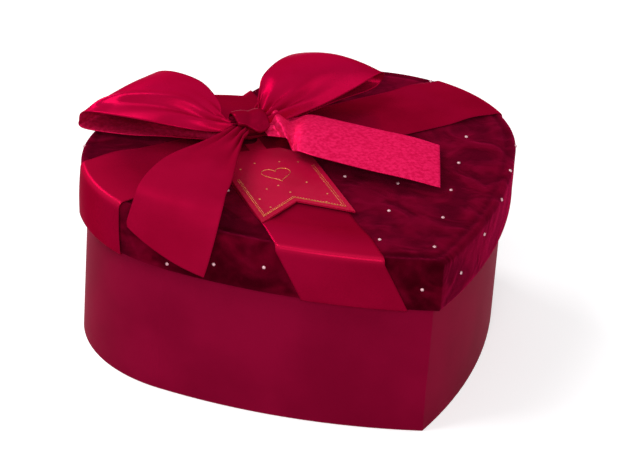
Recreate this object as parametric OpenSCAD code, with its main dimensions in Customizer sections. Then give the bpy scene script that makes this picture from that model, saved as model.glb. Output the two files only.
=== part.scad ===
// Heart-shaped gift box with a padded velvet lid, two ribbon bands, a hand-tied bow and a card tag.
// Millimetres. The origin is on the floor, midway between the two lobes' centres.
// +X runs to the right lobe, +Y to the notch, and the front point lies along -Y.

/* [Heart outline] */
// Radius of the two round lobes of the base
lobe_r = 61.5; // [56:0.5:68]
// Distance from the middle line to each lobe's centre
lobe_x = 36; // [32:0.5:40]
// Distance from the lobes' centre line to the front point
point_y = 113; // [104:0.5:122]
// Radius of the long, gently curved sides
side_r = 250; // [225:1:320]

/* [Base] */
// Height of the base, from the floor to its rim
base_h = 80; // [60:1:120]
// Thickness of the board in the walls, the floor, the lid's rim and its top
board_t = 1.5; // [1.2:0.1:2.4]
// Thickness of the covering and lining papers
paper_t = 0.3; // [0.2:0.05:0.5]
// Depth of the covering paper's turn-in below the rim
wrap_turn_in = 15; // [8:1:25]
// Width of the covering paper's turn-under below the floor
wrap_turn_under = 12; // [8:1:20]
// Distance of the bottom sheet's edge from the covering paper's outside
sheet_inset = 2; // [1:0.5:4]

/* [Lid] */
// Height of the lid, from its lower edge to the top of its velvet
lid_h = 23.4; // [20:0.2:32]
// Gap between the base's outside and the lid's turned-in velvet
lid_clearance = 0.6; // [0.4:0.1:1.2]
// Thickness of the velvet
velvet_t = 0.8; // [0.5:0.1:1.2]
// Depth of the velvet's turn-in above the lid's lower edge
velvet_turn_in = 12; // [6:1:16]
// Thickness of the wadding under the velvet
pad_t = 2; // [1:0.5:5]
// Rounding of the wadding's upper edge
pad_round = 1.8; // [0.8:0.1:1.9]

/* [Ribbon] */
// Width of the satin ribbon
ribbon_w = 40; // [34:1:44]
// Thickness of the satin ribbon
ribbon_t = 0.6; // [0.4:0.1:0.8]
// Width of each band's fold under the lid's lower edge
band_tuck = 2.4; // [1:0.2:2.8]
// Turn of the cross band from the left-right line, in degrees
cross_angle = 2.5; // [-6:0.5:6]
// Distance of the cross band's middle line in front of the knot's middle
cross_front = 3.5; // [0:0.5:6]
// Turn of the long band from the front-back line, in degrees
axis_angle = 9.5; // [0:0.5:14]

/* [Bow] */
// Distance of the knot to the left of the middle line
knot_left = 22; // [14:1:28]
// Distance of the knot behind the lobes' centre line
knot_back = 10; // [4:1:14]
// Width of the ribbon wrapped round the knot
knot_w = 15; // [13:0.5:20]
// Front-to-back depth of the knot
knot_depth = 17; // [14:0.5:20]
// Height of the knot
knot_h = 14; // [11:0.5:17]
// Length of the gathered ribbon inside the knot
core_len = 17.4; // [16:0.2:22]
// Gap between the gathered core and the start of each loop and tail
arm_gap = 0.4; // [0.3:0.1:1]
// Reach of the left loop from the knot
loop_left_len = 54; // [46:1:60]
// Reach of the right loop from the knot
loop_right_len = 58; // [50:1:64]
// Reach of the right tail from the knot
tail_right_len = 76; // [60:1:84]

/* [Tag] */
// Width of the card tag
tag_w = 42; // [34:1:46]
// Length of the tag from its crease to its two tips
tag_len = 64; // [50:1:70]
// Depth of the swallowtail cut
tag_notch = 15; // [8:1:20]
// Clipped width of each upper corner
tag_corner = 11; // [8:1:13]
// Thickness of the card
tag_t = 0.8; // [0.5:0.1:1]
// Turn of the tag from the front-back line, in degrees
tag_angle = 10; // [6:0.5:14]
// Gap between the glued tab and the card at the crease
crease_gap = 0.4; // [0.3:0.1:0.6]

/* [Velvet dots] */
// Diameter of one bright dot
dot_d = 2; // [1.2:0.2:2.6]
// Height of one dot
dot_h = 0.6; // [0.4:0.1:0.8]
// Distance between dots along the pattern's long step
dot_pitch_a = 26.6; // [20:0.2:40]
// Distance between dots along the pattern's short step
dot_pitch_b = 23.2; // [18:0.2:40]

/* [Hidden] */

// Facets of the small, the middle and the large arcs
fine = 24;
arc_fn = 144;
side_fn = 540;

// Offsets of each layer from the base's outside, with inward offsets below zero
off_board_out = -paper_t;
off_board_in = off_board_out - board_t;
off_lining = off_board_in - paper_t;
off_lid_in = lid_clearance;
off_rim_in = off_lid_in + velvet_t;
off_rim_out = off_rim_in + board_t;
off_velvet = off_rim_out + velvet_t;
off_band = off_velvet + ribbon_t;

// Levels, from the floor upwards
board_z = 2 * paper_t;
floor_z = board_z + board_t;
lining_z = floor_z + paper_t;
lid_board_z = base_h + paper_t;
pad_z = lid_board_z + board_t;
velvet_z = pad_z + pad_t;
lid_top = velvet_z + velvet_t;
lid_bottom = lid_top - lid_h;
rim_z = lid_bottom + velvet_t;
velvet_round = pad_round + velvet_t;
fold_z = lid_top - velvet_round;
round_run = PI / 2 * velvet_round;
bow_z = lid_top + 2 * ribbon_t;
reach = 2 * (lobe_x + lobe_r) + point_y;

// Centre of the right side's large arc, which touches the lobe inside and passes through the point
point_dist = norm([lobe_x, point_y]);
centre_dist = side_r - lobe_r;
centre_along = (centre_dist ^ 2 - side_r ^ 2 + point_dist ^ 2) / (2 * point_dist);
centre_across = sqrt(centre_dist ^ 2 - centre_along ^ 2);
side_cx = lobe_x - (centre_along * lobe_x + centre_across * point_y) / point_dist;
side_cy = (centre_across * lobe_x - centre_along * point_y) / point_dist;
seam_angle = atan2(-side_cy, lobe_x - side_cx);
seam_y = -lobe_x * tan(seam_angle);

// Places of the knot, the core and the crease
knot = [-knot_left, knot_back];
cross_mid = knot + [0, -cross_front];
glue_t = ribbon_t;
knot_z = bow_z + tag_t + glue_t + knot_h / 2;
arm_x = core_len / 2 + arm_gap;
crease_y_share = 0.56;
crease = knot + [0, -knot_depth * crease_y_share];

// Cross sections and pleats of the ribbon's loops and tails
ribbon_steps = 3;
ribbon_cells = 12;
pleat_share = 0.035;
pleat_count = 2.5;

// Rows of a loop or tail: place along, place to the back and height as shares of its reach,
// width as a share of the ribbon, roll and yaw in degrees, crown as a share of the ribbon,
// and the angle in degrees by which the crown leans ahead
loop_left_heading = 126;
loop_left_shares = [
  [0.00, 0.00, 0.150, 0.26, 0, 54, 0.02, 0],
  [0.15, 0.00, 0.198, 0.46, 16, 4, 0.05, 0],
  [0.45, 0.00, 0.258, 0.82, 14, -14, 0.10, 0],
  [0.75, 0.00, 0.258, 1.00, 12, -20, 0.09, 0],
  [0.95, 0.00, 0.218, 1.06, 10, -24, 0.04, 0],
  [1.00, 0.00, 0.148, 1.08, 9, -24, 0.00, 0],
  [0.95, 0.00, 0.084, 1.06, 7, -24, 0.00, 0],
  [0.65, 0.01, 0.062, 0.92, 4, -20, 0.01, 0],
  [0.35, 0.03, 0.062, 0.60, 3, -6, 0.01, 0],
  [0.00, 0.00, 0.085, 0.26, 0, 54, 0.01, 0]
];
loop_right_heading = 27;
loop_right_shares = [
  [0.00, 0.00, 0.150, 0.26, 0, 27, 0.02, 0],
  [0.12, 0.00, 0.228, 0.38, 16, 0, 0.08, 0],
  [0.35, -0.03, 0.312, 0.66, 22, -18, 0.15, 0],
  [0.65, -0.05, 0.320, 0.83, 20, -24, 0.14, 0],
  [0.93, -0.06, 0.295, 0.90, 12, -26, 0.06, 0],
  [1.00, -0.06, 0.212, 0.91, 4, -26, 0.00, 0],
  [0.94, -0.03, 0.110, 0.88, 0, -26, 0.00, 0],
  [0.65, 0.09, 0.056, 0.74, 0, -22, 0.01, 0],
  [0.30, 0.10, 0.055, 0.46, 0, -8, 0.01, 0],
  [0.00, 0.02, 0.080, 0.26, 0, 27, 0.01, 0]
];
tail_right_heading = -44;
tail_right_shares = [
  [0.00, 0.000, 0.085, 0.26, 0, -44, 0.03, 0],
  [0.10, -0.020, 0.096, 0.48, 2, -8, 0.05, 0],
  [0.30, -0.010, 0.086, 0.82, 0, 0, 0.04, 0],
  [0.60, -0.010, 0.066, 0.98, 0, -4, 0.03, 0],
  [1.00, 0.000, 0.038, 1.02, 0, -12, 0.02, 0]
];
tail_left_heading = 219;
tail_left_shares = [
  [0.000, 0.000, 0.127, 0.26, 0, -39, 0.02, 0],
  [0.224, 0.010, 0.132, 0.46, 0, -20, 0.03, 0],
  [0.550, 0.020, 0.138, 0.87, 0, -20, 0.02, 0],
  [0.740, 0.020, 0.136, 0.95, 0, -12, 0.02, 10],
  [0.915, 0.000, 0.118, 0.98, 0, -2, 0.05, 35],
  [0.990, 0.000, 0.022, 1.00, 2, -4, 0.08, 75],
  [1.002, 0.028, -0.125, 1.02, 8, -7, 0.09, 90],
  [0.997, 0.045, -0.225, 1.00, 18, -8, 0.09, 90]
];
loop_start_share = 0.12;
tail_right_start_share = -0.29;
tail_left_start_share = -0.41;

// Pattern of the velvet's dots
dot_angle_a = 230;
dot_angle_b = -39;
dot_first_shares = [0.9, -0.69];
dot_copies = 8;

// Colours of the pieces
wine = [0.45, 0.03, 0.13];
lining_red = [0.52, 0.08, 0.16];
velvet_red = [0.27, 0.01, 0.08];
satin_red = [0.70, 0.03, 0.14];
tag_red = [0.74, 0.05, 0.18];
board_grey = [0.62, 0.60, 0.57];

// The zone of the plane whose outline is the right lobe, and the zone of the right side
module lobe_zone() {
  far = reach / cos(seam_angle);
  polygon([[0, seam_y], [reach, seam_y + reach * tan(seam_angle)], [reach, far], [0, far]]);
}

module side_zone() {
  polygon([[0, seam_y], [0, -reach], [reach, -reach], [reach, seam_y + reach * tan(seam_angle)]]);
}

// Right half of the heart, moved out from the base's outside by off
module half_heart(off) {
  intersection() {
    translate([lobe_x, 0]) circle(lobe_r + off, $fn = arc_fn);
    lobe_zone();
  }
  intersection() {
    translate([side_cx, side_cy]) circle(side_r + off, $fn = side_fn);
    side_zone();
  }
}

module heart(off) {
  half_heart(off);
  mirror([1, 0]) half_heart(off);
}

// Flat heart-shaped layer between two levels
module layer(off, z0, z1) {
  translate([0, 0, z0]) linear_extrude(z1 - z0) heart(off);
}

// Upright band of even thickness that follows the outline
module ring(off_out, off_in, z0, z1) {
  translate([0, 0, z0]) linear_extrude(z1 - z0) difference() {
    heart(off_out);
    heart(off_in);
  }
}

// Right or left half of such a band, since two boards meet at the point and the notch
module half_ring(off_out, off_in, z0, z1, left) {
  mirror([left ? 1 : 0, 0, 0]) translate([0, 0, z0]) linear_extrude(z1 - z0) difference() {
    half_heart(off_out);
    half_heart(off_in);
  }
}

// Section of a body with a rounded upper edge, out to the outline's arc radius plus off
module section(off, z0, z1, edge) {
  r = $arc_r + off;
  intersection() {
    union() {
      translate([0, z0]) square([r, z1 - edge - z0]);
      translate([0, z0]) square([r - edge, z1 - z0]);
      translate([r - edge, z1 - edge]) circle(edge, $fn = fine);
    }
    translate([0, z0]) square([2 * reach, reach]);
  }
}

// Upright strip of a section between two offsets
module section_strip(off_in, off_out, z0, z1) {
  translate([$arc_r + off_in, z0]) square([off_out - off_in, z1 - z0]);
}

// Turns a section round the right lobe's centre and the right side's centre
module turned_half() {
  intersection() {
    translate([lobe_x, 0, 0]) rotate_extrude($fn = arc_fn) let ($arc_r = lobe_r) children();
    linear_extrude(reach) lobe_zone();
  }
  intersection() {
    translate([side_cx, side_cy, 0]) rotate_extrude($fn = side_fn) let ($arc_r = side_r) children();
    linear_extrude(reach) side_zone();
  }
}

// The same section followed round the whole heart
module turned() {
  turned_half() children();
  mirror([1, 0, 0]) turned_half() children();
}

module base_wall(left) {
  half_ring(off_board_out, off_board_in, board_z, base_h - paper_t, left);
}

module base_wall_left() {
  color(board_grey) base_wall(true);
}

module base_wall_right() {
  color(board_grey) base_wall(false);
}

module base_floor_board() {
  color(board_grey) layer(off_board_in, board_z, floor_z);
}

// Covering paper: turned under the floor, up the outside, over the rim and down the inside
module base_wrap() {
  color(wine) {
    ring(0, -wrap_turn_under, paper_t, board_z);
    ring(0, off_board_out, board_z, base_h - paper_t);
    ring(0, off_lining, base_h - paper_t, base_h);
    ring(off_board_in, off_lining, base_h - wrap_turn_in, base_h - paper_t);
  }
}

module base_lining_wall() {
  color(lining_red) ring(off_board_in, off_lining, floor_z, base_h - wrap_turn_in);
}

module base_lining_floor() {
  color(lining_red) layer(off_lining, floor_z, lining_z);
}

module base_bottom_sheet() {
  color(wine) layer(-sheet_inset, 0, paper_t);
}

module lid_rim(left) {
  half_ring(off_rim_out, off_rim_in, rim_z, lid_board_z, left);
}

module lid_rim_left() {
  color(board_grey) lid_rim(true);
}

module lid_rim_right() {
  color(board_grey) lid_rim(false);
}

module lid_top_board() {
  color(board_grey) layer(off_rim_out, lid_board_z, pad_z);
}

module lid_padding() {
  color("whitesmoke") turned() section(off_rim_out, pad_z, velvet_z, pad_round);
}

// Velvet: over the wadding, down the rim, under its edge and up the inside
module lid_velvet() {
  color(velvet_red) turned() {
    difference() {
      section(off_velvet, rim_z, lid_top, velvet_round);
      section(off_rim_out, 0, velvet_z, pad_round);
    }
    section_strip(off_lid_in, off_velvet, lid_bottom, rim_z);
    section_strip(off_lid_in, off_rim_in, rim_z, rim_z + velvet_turn_in);
  }
}

module lid_lining_top() {
  color(lining_red) layer(off_rim_in, base_h, lid_board_z);
}

module lid_lining_rim() {
  color(lining_red) ring(off_rim_in, off_rim_in - paper_t, rim_z + velvet_turn_in, base_h);
}

// Distance of a point outside the heart that is moved out by off
function outside(p, off) =
  let (x = abs(p.x), over = (p.y - seam_y) - x * tan(seam_angle))
  over > 0
    ? norm([x - lobe_x, p.y]) - lobe_r - off
    : norm([x - side_cx, p.y - side_cy]) - side_r - off;

// Distance of a point from the middle of each band
function off_cross(p) = abs((p - cross_mid) * [-sin(cross_angle), cos(cross_angle)]);
function off_axis(p) = abs((p - knot) * [cos(axis_angle), -sin(axis_angle)]);
function bare(p) = min(off_cross(p), off_axis(p)) > (ribbon_w + dot_d) / 2;

module dot() {
  dome_r = ((dot_d / 2) ^ 2 + dot_h ^ 2) / (2 * dot_h);
  intersection() {
    translate([0, 0, dot_h - dome_r]) sphere(dome_r, $fn = fine);
    cylinder(h = dot_h, d = dot_d, $fn = fine);
  }
}

// A dot of the flat pattern on the folded velvet: past is how far it lies past the start of
// the rounded edge, so it is on the top, on the rounding, or that much further down the rim
module folded_dot(p, past) {
  on_lobe = (p.y - seam_y) - abs(p.x) * tan(seam_angle) > 0;
  centre = on_lobe ? [lobe_x, 0] : [side_cx, side_cy];
  r = (on_lobe ? lobe_r : side_r) + off_velvet - velvet_round;
  facing = atan2(p.y - centre.y, abs(p.x) - centre.x);
  tilt = min(90, max(0, past / round_run * 90));
  if (centre.x + (r + min(past, velvet_round)) * cos(facing) > dot_d)
    mirror([p.x < 0 ? 1 : 0, 0, 0])
      translate([centre.x, centre.y, fold_z - max(0, past - round_run)])
        rotate(facing) translate([r + min(0, past), 0, 0])
          rotate([0, tilt, 0]) translate([0, 0, velvet_round]) dot();
}

// One even pattern, cut for the lid before its velvet is folded over the edge
module velvet_dots() {
  step_a = dot_pitch_a * [cos(dot_angle_a), sin(dot_angle_a)];
  step_b = dot_pitch_b * [cos(dot_angle_b), sin(dot_angle_b)];
  first = lobe_r * dot_first_shares;
  color("mistyrose")
    for (i = [-dot_copies:dot_copies], j = [-dot_copies:dot_copies]) {
      p = first + i * step_a + j * step_b;
      past = outside(p, off_velvet) + velvet_round;
      if (bare(p) && past < round_run + lid_h - velvet_round - dot_d) folded_dot(p, past);
    }
}

// Upright slab along a band, grown on both long sides
module cross_slab(grow, z0, z1) {
  translate([cross_mid.x, cross_mid.y, z0]) rotate(cross_angle)
    translate([-reach, -ribbon_w / 2 - grow, 0]) cube([2 * reach, ribbon_w + 2 * grow, z1 - z0]);
}

module axis_slab(z0, z1) {
  translate([knot.x, knot.y, z0]) rotate(-axis_angle)
    translate([-ribbon_w / 2, -reach, 0]) cube([ribbon_w, 2 * reach, z1 - z0]);
}

// Distance from a point along a heading to a circle that holds the point
function to_circle(p, heading, centre, r) =
  let (
    ahead = [cos(heading), sin(heading)],
    from = p - centre,
    b = from * ahead
  )
  sqrt(b ^ 2 - from * from + r ^ 2) - b;

// Slab along a band's run down the rim, where the ribbon keeps straight over the fold:
// it leaves the edge at the angle at which it came, so it leans along the rim
module rim_slab(p, heading, centre, r) {
  fold = p + to_circle(p, heading, centre, r) * [cos(heading), sin(heading)];
  facing = atan2(fold.y - centre.y, fold.x - centre.x);
  intersection() {
    translate([fold.x, fold.y, fold_z]) rotate(facing) rotate([heading - facing, 0, 0])
      translate([-lid_h, -ribbon_w / 2, -2 * lid_h]) cube([2 * lid_h, ribbon_w, 3 * lid_h]);
    translate([fold.x, fold.y, fold_z]) rotate(facing)
      translate([-lid_h, -ribbon_w, -2 * lid_h]) cube([2 * lid_h, 2 * ribbon_w, 2 * lid_h]);
  }
}

// Ribbon laid over the lid, down its rim and tucked under its lower edge
module band_shell() {
  turned() {
    difference() {
      section(off_band, lid_bottom, lid_top + ribbon_t, velvet_round + ribbon_t);
      section(off_velvet, 0, lid_top, velvet_round);
    }
    section_strip(off_velvet - band_tuck, off_band, lid_bottom - ribbon_t, lid_bottom);
  }
}

module cross_band() {
  color(satin_red) {
    intersection() {
      band_shell();
      cross_slab(0, fold_z, reach);
    }
    intersection() {
      band_shell();
      union() {
        rim_slab(cross_mid, 180 + cross_angle, [-lobe_x, 0], lobe_r + off_velvet);
        rim_slab(cross_mid, cross_angle, [lobe_x, 0], lobe_r + off_velvet);
      }
    }
  }
}

// The long band steps up over the cross band where they meet
module axis_band() {
  color(satin_red) {
    difference() {
      intersection() {
        band_shell();
        union() {
          axis_slab(fold_z, reach);
          rim_slab(knot, 270 - axis_angle, [-side_cx, side_cy], side_r + off_velvet);
          rim_slab(knot, 90 - axis_angle, [-lobe_x, 0], lobe_r + off_velvet);
        }
      }
      cross_slab(0, 0, reach);
    }
    difference() {
      intersection() {
        axis_slab(lid_top, bow_z);
        cross_slab(ribbon_t, lid_top, bow_z);
      }
      cross_slab(0, 0, lid_top + ribbon_t);
    }
  }
}

function ellipse(depth, height) =
  [for (k = [0:2 * fine - 1]) [height / 2 * cos(k * 180 / fine), depth / 2 * sin(k * 180 / fine)]];

// Rod of oval section that lies left to right through the knot
module knot_rod(length, grow) {
  translate([knot.x - length / 2, knot.y, knot_z]) rotate([0, 90, 0])
    linear_extrude(length) polygon(ellipse(knot_depth + 2 * grow, knot_h + 2 * grow));
}

module bow_core() {
  color(satin_red) knot_rod(core_len, -2 * ribbon_t);
}

module bow_knot() {
  color(satin_red) difference() {
    knot_rod(knot_w, 0);
    knot_rod(reach, -2 * ribbon_t);
  }
}

module bow_glue_pad() {
  color("gainsboro") translate([knot.x, knot.y, bow_z + tag_t])
    linear_extrude(glue_t) polygon(ellipse(knot_w / 2, knot_depth / 2));
}

// Smooth curve through the rows of a loop or tail
function row_at(rows, i) =
  i < 0 ? 2 * rows[0] - rows[1] :
  i >= len(rows) ? 2 * rows[len(rows) - 1] - rows[len(rows) - 2] : rows[i];
function blend(a, b, c, d, t) =
  (2 * b + (c - a) * t + (2 * a - 5 * b + 4 * c - d) * t ^ 2 + (3 * b - a - 3 * c + d) * t ^ 3) / 2;
function smooth(rows) = [
  for (i = [0:len(rows) - 2], k = [0:ribbon_steps - 1])
    blend(row_at(rows, i - 1), rows[i], rows[i + 1], row_at(rows, i + 2), k / ribbon_steps),
  rows[len(rows) - 1]
];

// Point of the ribbon's middle surface, with u from -1 at the near edge to 1 at the far edge
function ribbon_point(start, heading, length, row, u) =
  let (
    ahead = [cos(heading), sin(heading), 0],
    back = cos(heading) < 0 ? [sin(heading), -cos(heading), 0] : [-sin(heading), cos(heading), 0],
    level = cos(row[5]) * back + sin(row[5]) * ahead,
    across = cos(row[4]) * level + [0, 0, sin(row[4])],
    square_up = [0, 0, cos(row[4])] - sin(row[4]) * level,
    up = cos(row[7]) * square_up + sin(row[7]) * ahead,
    pleat = pleat_share * (1 - min(1, row[3])) * cos(360 * pleat_count * u),
    lift = ribbon_w * (row[6] * (1 - u ^ 2) + pleat)
  )
  start + length * (row[0] * ahead + row[1] * back + [0, 0, row[2]])
    + across * u * row[3] * ribbon_w / 2 + up * lift;

function unit(v) = v / norm(v);
function slope(grid, i, j) =
  let (
    m = len(grid) - 1,
    n = len(grid[0]) - 1,
    du = grid[min(i + 1, m)][j] - grid[max(i - 1, 0)][j],
    dv = grid[i][min(j + 1, n)] - grid[i][max(j - 1, 0)]
  )
  unit(cross(du, dv));

// Closed strip of the ribbon's thickness about its middle surface
module ribbon(start, heading, length, shares) {
  rows = smooth(shares);
  m = len(rows);
  n = ribbon_cells + 1;
  grid = [for (row = rows) [for (j = [0:ribbon_cells])
    ribbon_point(start, heading, length, row, 2 * j / ribbon_cells - 1)]];
  faces_up = [for (i = [0:m - 1], j = [0:n - 1]) grid[i][j] + slope(grid, i, j) * ribbon_t / 2];
  faces_down = [for (i = [0:m - 1], j = [0:n - 1]) grid[i][j] - slope(grid, i, j) * ribbon_t / 2];
  low = m * n;
  polyhedron(
    points = concat(faces_up, faces_down),
    faces = [
      for (i = [0:m - 2], j = [0:n - 2]) let (a = i * n + j, b = a + 1, c = a + n, d = c + 1)
        each [[a, b, d], [a, d, c], [low + a, low + d, low + b], [low + a, low + c, low + d]],
      for (i = [0:m - 2]) let (a = i * n, b = a + n, c = a + n - 1, d = c + n)
        each [[a, b, low + b], [a, low + b, low + a], [c, low + d, d], [c, low + c, low + d]],
      for (j = [0:n - 2]) let (a = j, b = a + 1, c = low - n + j, d = c + 1)
        each [[a, low + b, b], [a, low + a, low + b], [c, d, low + d], [c, low + d, low + c]]
    ]
  );
}

// Where a loop or tail leaves the core: on its left or right, and to its front or back
function arm_start(side, back_share) =
  [knot.x + side * arm_x, knot.y + back_share * knot_depth, bow_z];

module bow_loop_left() {
  color(satin_red)
    ribbon(arm_start(-1, loop_start_share), loop_left_heading, loop_left_len, loop_left_shares);
}

module bow_loop_right() {
  color(satin_red)
    ribbon(arm_start(1, loop_start_share), loop_right_heading, loop_right_len, loop_right_shares);
}

module bow_tail_right() {
  color(satin_red)
    ribbon(arm_start(1, tail_right_start_share), tail_right_heading, tail_right_len,
      tail_right_shares);
}

// The left tail ends where it hangs over the lid's edge, so its reach follows the lid
module bow_tail_left() {
  start = arm_start(-1, tail_left_start_share);
  color(satin_red)
    ribbon(start, tail_left_heading,
      to_circle([start.x, start.y], tail_left_heading, [-lobe_x, 0], lobe_r + off_velvet),
      tail_left_shares);
}

// Places the tag's outline: its crease lies along X at the origin and its tips along -Y
module at_crease(z) {
  translate([crease.x, crease.y, z]) rotate(-tag_angle) children();
}

module tag_card() {
  color(tag_red) at_crease(bow_z) translate([0, -crease_gap, 0]) linear_extrude(tag_t)
    polygon([
      [-tag_w / 2 + tag_corner, 0],
      [-tag_w / 2, -tag_corner],
      [-tag_w / 2, -tag_len],
      [0, -tag_len + tag_notch],
      [tag_w / 2, -tag_len],
      [tag_w / 2, -tag_corner],
      [tag_w / 2 - tag_corner, 0]
    ]);
}

// Upper end of the same card, glued down under the knot
module tag_tab() {
  tab_w = knot_w / 2;
  color(tag_red) at_crease(bow_z) translate([-tab_w / 2, 0, 0]) cube([tab_w, knot_depth, tag_t]);
}

base_wall_left();
base_wall_right();
base_floor_board();
base_wrap();
base_lining_wall();
base_lining_floor();
base_bottom_sheet();
lid_rim_left();
lid_rim_right();
lid_top_board();
lid_padding();
lid_velvet();
lid_lining_top();
lid_lining_rim();
velvet_dots();
cross_band();
axis_band();
bow_core();
bow_knot();
bow_glue_pad();
bow_loop_left();
bow_loop_right();
bow_tail_left();
bow_tail_right();
tag_tab();
tag_card();
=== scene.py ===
# %% [markdown]
# # A heart-shaped gift box with a velvet lid and a satin bow
# This lesson dresses a CAD model. The CAD gives every piece its place and size. Here the boards and
# papers get their finish, and the soft pieces, which are velvet, wadding and ribbon, are made anew
# as thin cloth that lies where the CAD's plain solids lie.

import math

import bpy
from mathutils import Matrix, Quaternion, Vector, geometry, noise


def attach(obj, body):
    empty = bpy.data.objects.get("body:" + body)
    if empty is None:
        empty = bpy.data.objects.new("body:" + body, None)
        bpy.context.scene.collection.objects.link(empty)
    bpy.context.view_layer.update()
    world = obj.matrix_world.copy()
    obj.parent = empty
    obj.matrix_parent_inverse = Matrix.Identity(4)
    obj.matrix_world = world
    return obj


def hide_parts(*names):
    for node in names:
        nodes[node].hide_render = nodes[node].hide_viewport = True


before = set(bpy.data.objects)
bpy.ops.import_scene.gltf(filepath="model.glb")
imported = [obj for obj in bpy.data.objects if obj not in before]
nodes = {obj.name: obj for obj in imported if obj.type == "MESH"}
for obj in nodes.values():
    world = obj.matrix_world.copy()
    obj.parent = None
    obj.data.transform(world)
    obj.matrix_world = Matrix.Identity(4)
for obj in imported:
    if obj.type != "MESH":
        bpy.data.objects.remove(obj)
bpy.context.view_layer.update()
MM = 0.001

# %% [markdown]
# ## The camera
# The photograph was taken from about 1.4 metres with a long lens, from the left of the box's front
# and from above. A long lens from far away keeps upright edges nearly parallel. The small roll is
# the photograph's own. A camera could be placed by eye, but this one was fitted to the outlines of
# the base and the lid, so that each piece can be compared with the photograph where it lies.

# %% Place the camera
CAMERA_AT = Vector((-0.6474, -1.0394, 0.6984))
LOOK_AT = Vector((0.0, -0.016, 0.049))
CAMERA_ROLL = math.radians(4.131)
LENS = 177.14
NEAREST_SEEN = 0.05
scene = bpy.context.scene


def add_object(name, data):
    """Puts a mesh, a lamp or a camera in the scene as an object."""
    obj = bpy.data.objects.new(name, data)
    scene.collection.objects.link(obj)
    return obj


def aim(obj, at, roll=0.0):
    """Turns a camera or a lamp so that it looks at a point."""
    toward = (at - obj.location).to_track_quat("-Z", "Y")
    obj.rotation_mode = "QUATERNION"
    obj.rotation_quaternion = toward @ Quaternion((0, 0, 1), roll)


camera = add_object("camera", bpy.data.cameras.new("camera"))
camera.location = CAMERA_AT
camera.data.lens = LENS
camera.data.clip_start = NEAREST_SEEN
aim(camera, LOOK_AT, CAMERA_ROLL)
scene.camera = camera
scene.view_settings.view_transform = "Standard"
print("camera stands", round((CAMERA_AT - LOOK_AT).length, 3), "m from the box")

# %% [markdown]
# ## The light
# A product photograph like this has large soft lamps. The main one hangs at the left and high up, so
# that the folds of the ribbon catch it. A second one, at the front left, lights the base, one behind
# puts a shine on the bow's far edges, and a weak one keeps the right side from going black. One lamp
# would be simpler, but satin looks dull on each side where it has nothing to reflect.

# %% Hang the lamps
LAMPS = {
    # name: place, side of the square, power
    "main_softbox": ((-0.80, 0.15, 1.20), 0.6, 8.4),
    "front_softbox": ((-0.70, -1.20, 0.80), 0.7, 8.5),
    "back_softbox": ((-0.36, 1.00, 0.75), 0.45, 5.5),
    "right_fill": ((1.25, -0.65, 0.65), 0.8, 3.8),
}
for name, (place, side, power) in LAMPS.items():
    lamp = add_object(name, bpy.data.lights.new(name, "AREA"))
    lamp.location = place
    lamp.data.shape = "SQUARE"
    lamp.data.size = side
    lamp.data.energy = power
    aim(lamp, LOOK_AT)
print("lamps:", ", ".join(LAMPS))

# %% [markdown]
# ## The white room
# Floor and background are plain white in the photograph, and the floor takes the box's soft shadow.
# Stronger lamps would make them white too, but they would bleach the box. So the room shows its full
# white only to the rays that see it, and lights the box at a lower level. The Light Path node tells
# these rays apart.

# %% Helpers that build a node tree


def new_material(name):
    """A new material, and its empty node tree."""
    material = bpy.data.materials.new(name)
    material.use_nodes = True
    material.node_tree.nodes.clear()
    return material, material.node_tree


def add(tree, kind, links=None, **settings):
    """Adds a node. settings are its own fields, and links maps an input to a value or a socket."""
    node = tree.nodes.new(kind)
    for field, value in settings.items():
        setattr(node, field, value)
    for key, value in (links or {}).items():
        if isinstance(value, bpy.types.NodeSocket):
            tree.links.new(value, node.inputs[key])
        else:
            node.inputs[key].default_value = value
    return node


def calc(tree, operation, *values):
    """One step of arithmetic with values or sockets. It gives the result's socket."""
    return add(tree, "ShaderNodeMath", dict(enumerate(values)), operation=operation).outputs[0]


def background_rays(tree):
    """1 for the rays that see the background: the camera's, and those that metal and glass send on."""
    path = add(tree, "ShaderNodeLightPath")
    direct = calc(tree, "MAXIMUM", path.outputs["Is Camera Ray"], path.outputs["Is Transmission Ray"])
    return calc(tree, "MAXIMUM", direct, path.outputs["Is Glossy Ray"])


print("node helpers are ready")

# %% Light the room
WHITE = (1, 1, 1, 1)
WHITE_LEVEL = 1.0
ROOM_LEVEL = 0.35

world = bpy.data.worlds.new("white room")
scene.world = world
world.use_nodes = True
tree = world.node_tree
tree.nodes.clear()
level = add(tree, "ShaderNodeMapRange", {
    "Value": background_rays(tree), "To Min": ROOM_LEVEL, "To Max": WHITE_LEVEL})
sky = add(tree, "ShaderNodeBackground", {"Color": WHITE, "Strength": level.outputs[0]})
add(tree, "ShaderNodeOutputWorld", {"Surface": sky.outputs[0]})
print("the room lights the box at", ROOM_LEVEL, "of its white")

# %% Lay the floor
FLOOR_SIDE = 12.0
FLOOR_COLOUR = (0.86, 0.86, 0.87, 1)
FLOOR_LIFT = 0.45

half = FLOOR_SIDE / 2
floor_corners = [(-half, -half, 0), (half, -half, 0), (half, half, 0), (-half, half, 0)]
floor_mesh = bpy.data.meshes.new("floor")
floor_mesh.from_pydata(floor_corners, [], [(0, 1, 2, 3)])
floor = add_object("floor", floor_mesh)
white_floor, tree = new_material("white floor")
floor_mesh.materials.append(white_floor)
paint = add(tree, "ShaderNodeBsdfDiffuse", {"Color": FLOOR_COLOUR})
lift = calc(tree, "MULTIPLY", background_rays(tree), FLOOR_LIFT)
glow = add(tree, "ShaderNodeEmission", {"Color": WHITE, "Strength": lift})
both = add(tree, "ShaderNodeAddShader", {0: paint.outputs[0], 1: glow.outputs[0]})
add(tree, "ShaderNodeOutputMaterial", {"Surface": both.outputs[0]})
print("floor:", FLOOR_SIDE, "m each way")

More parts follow.
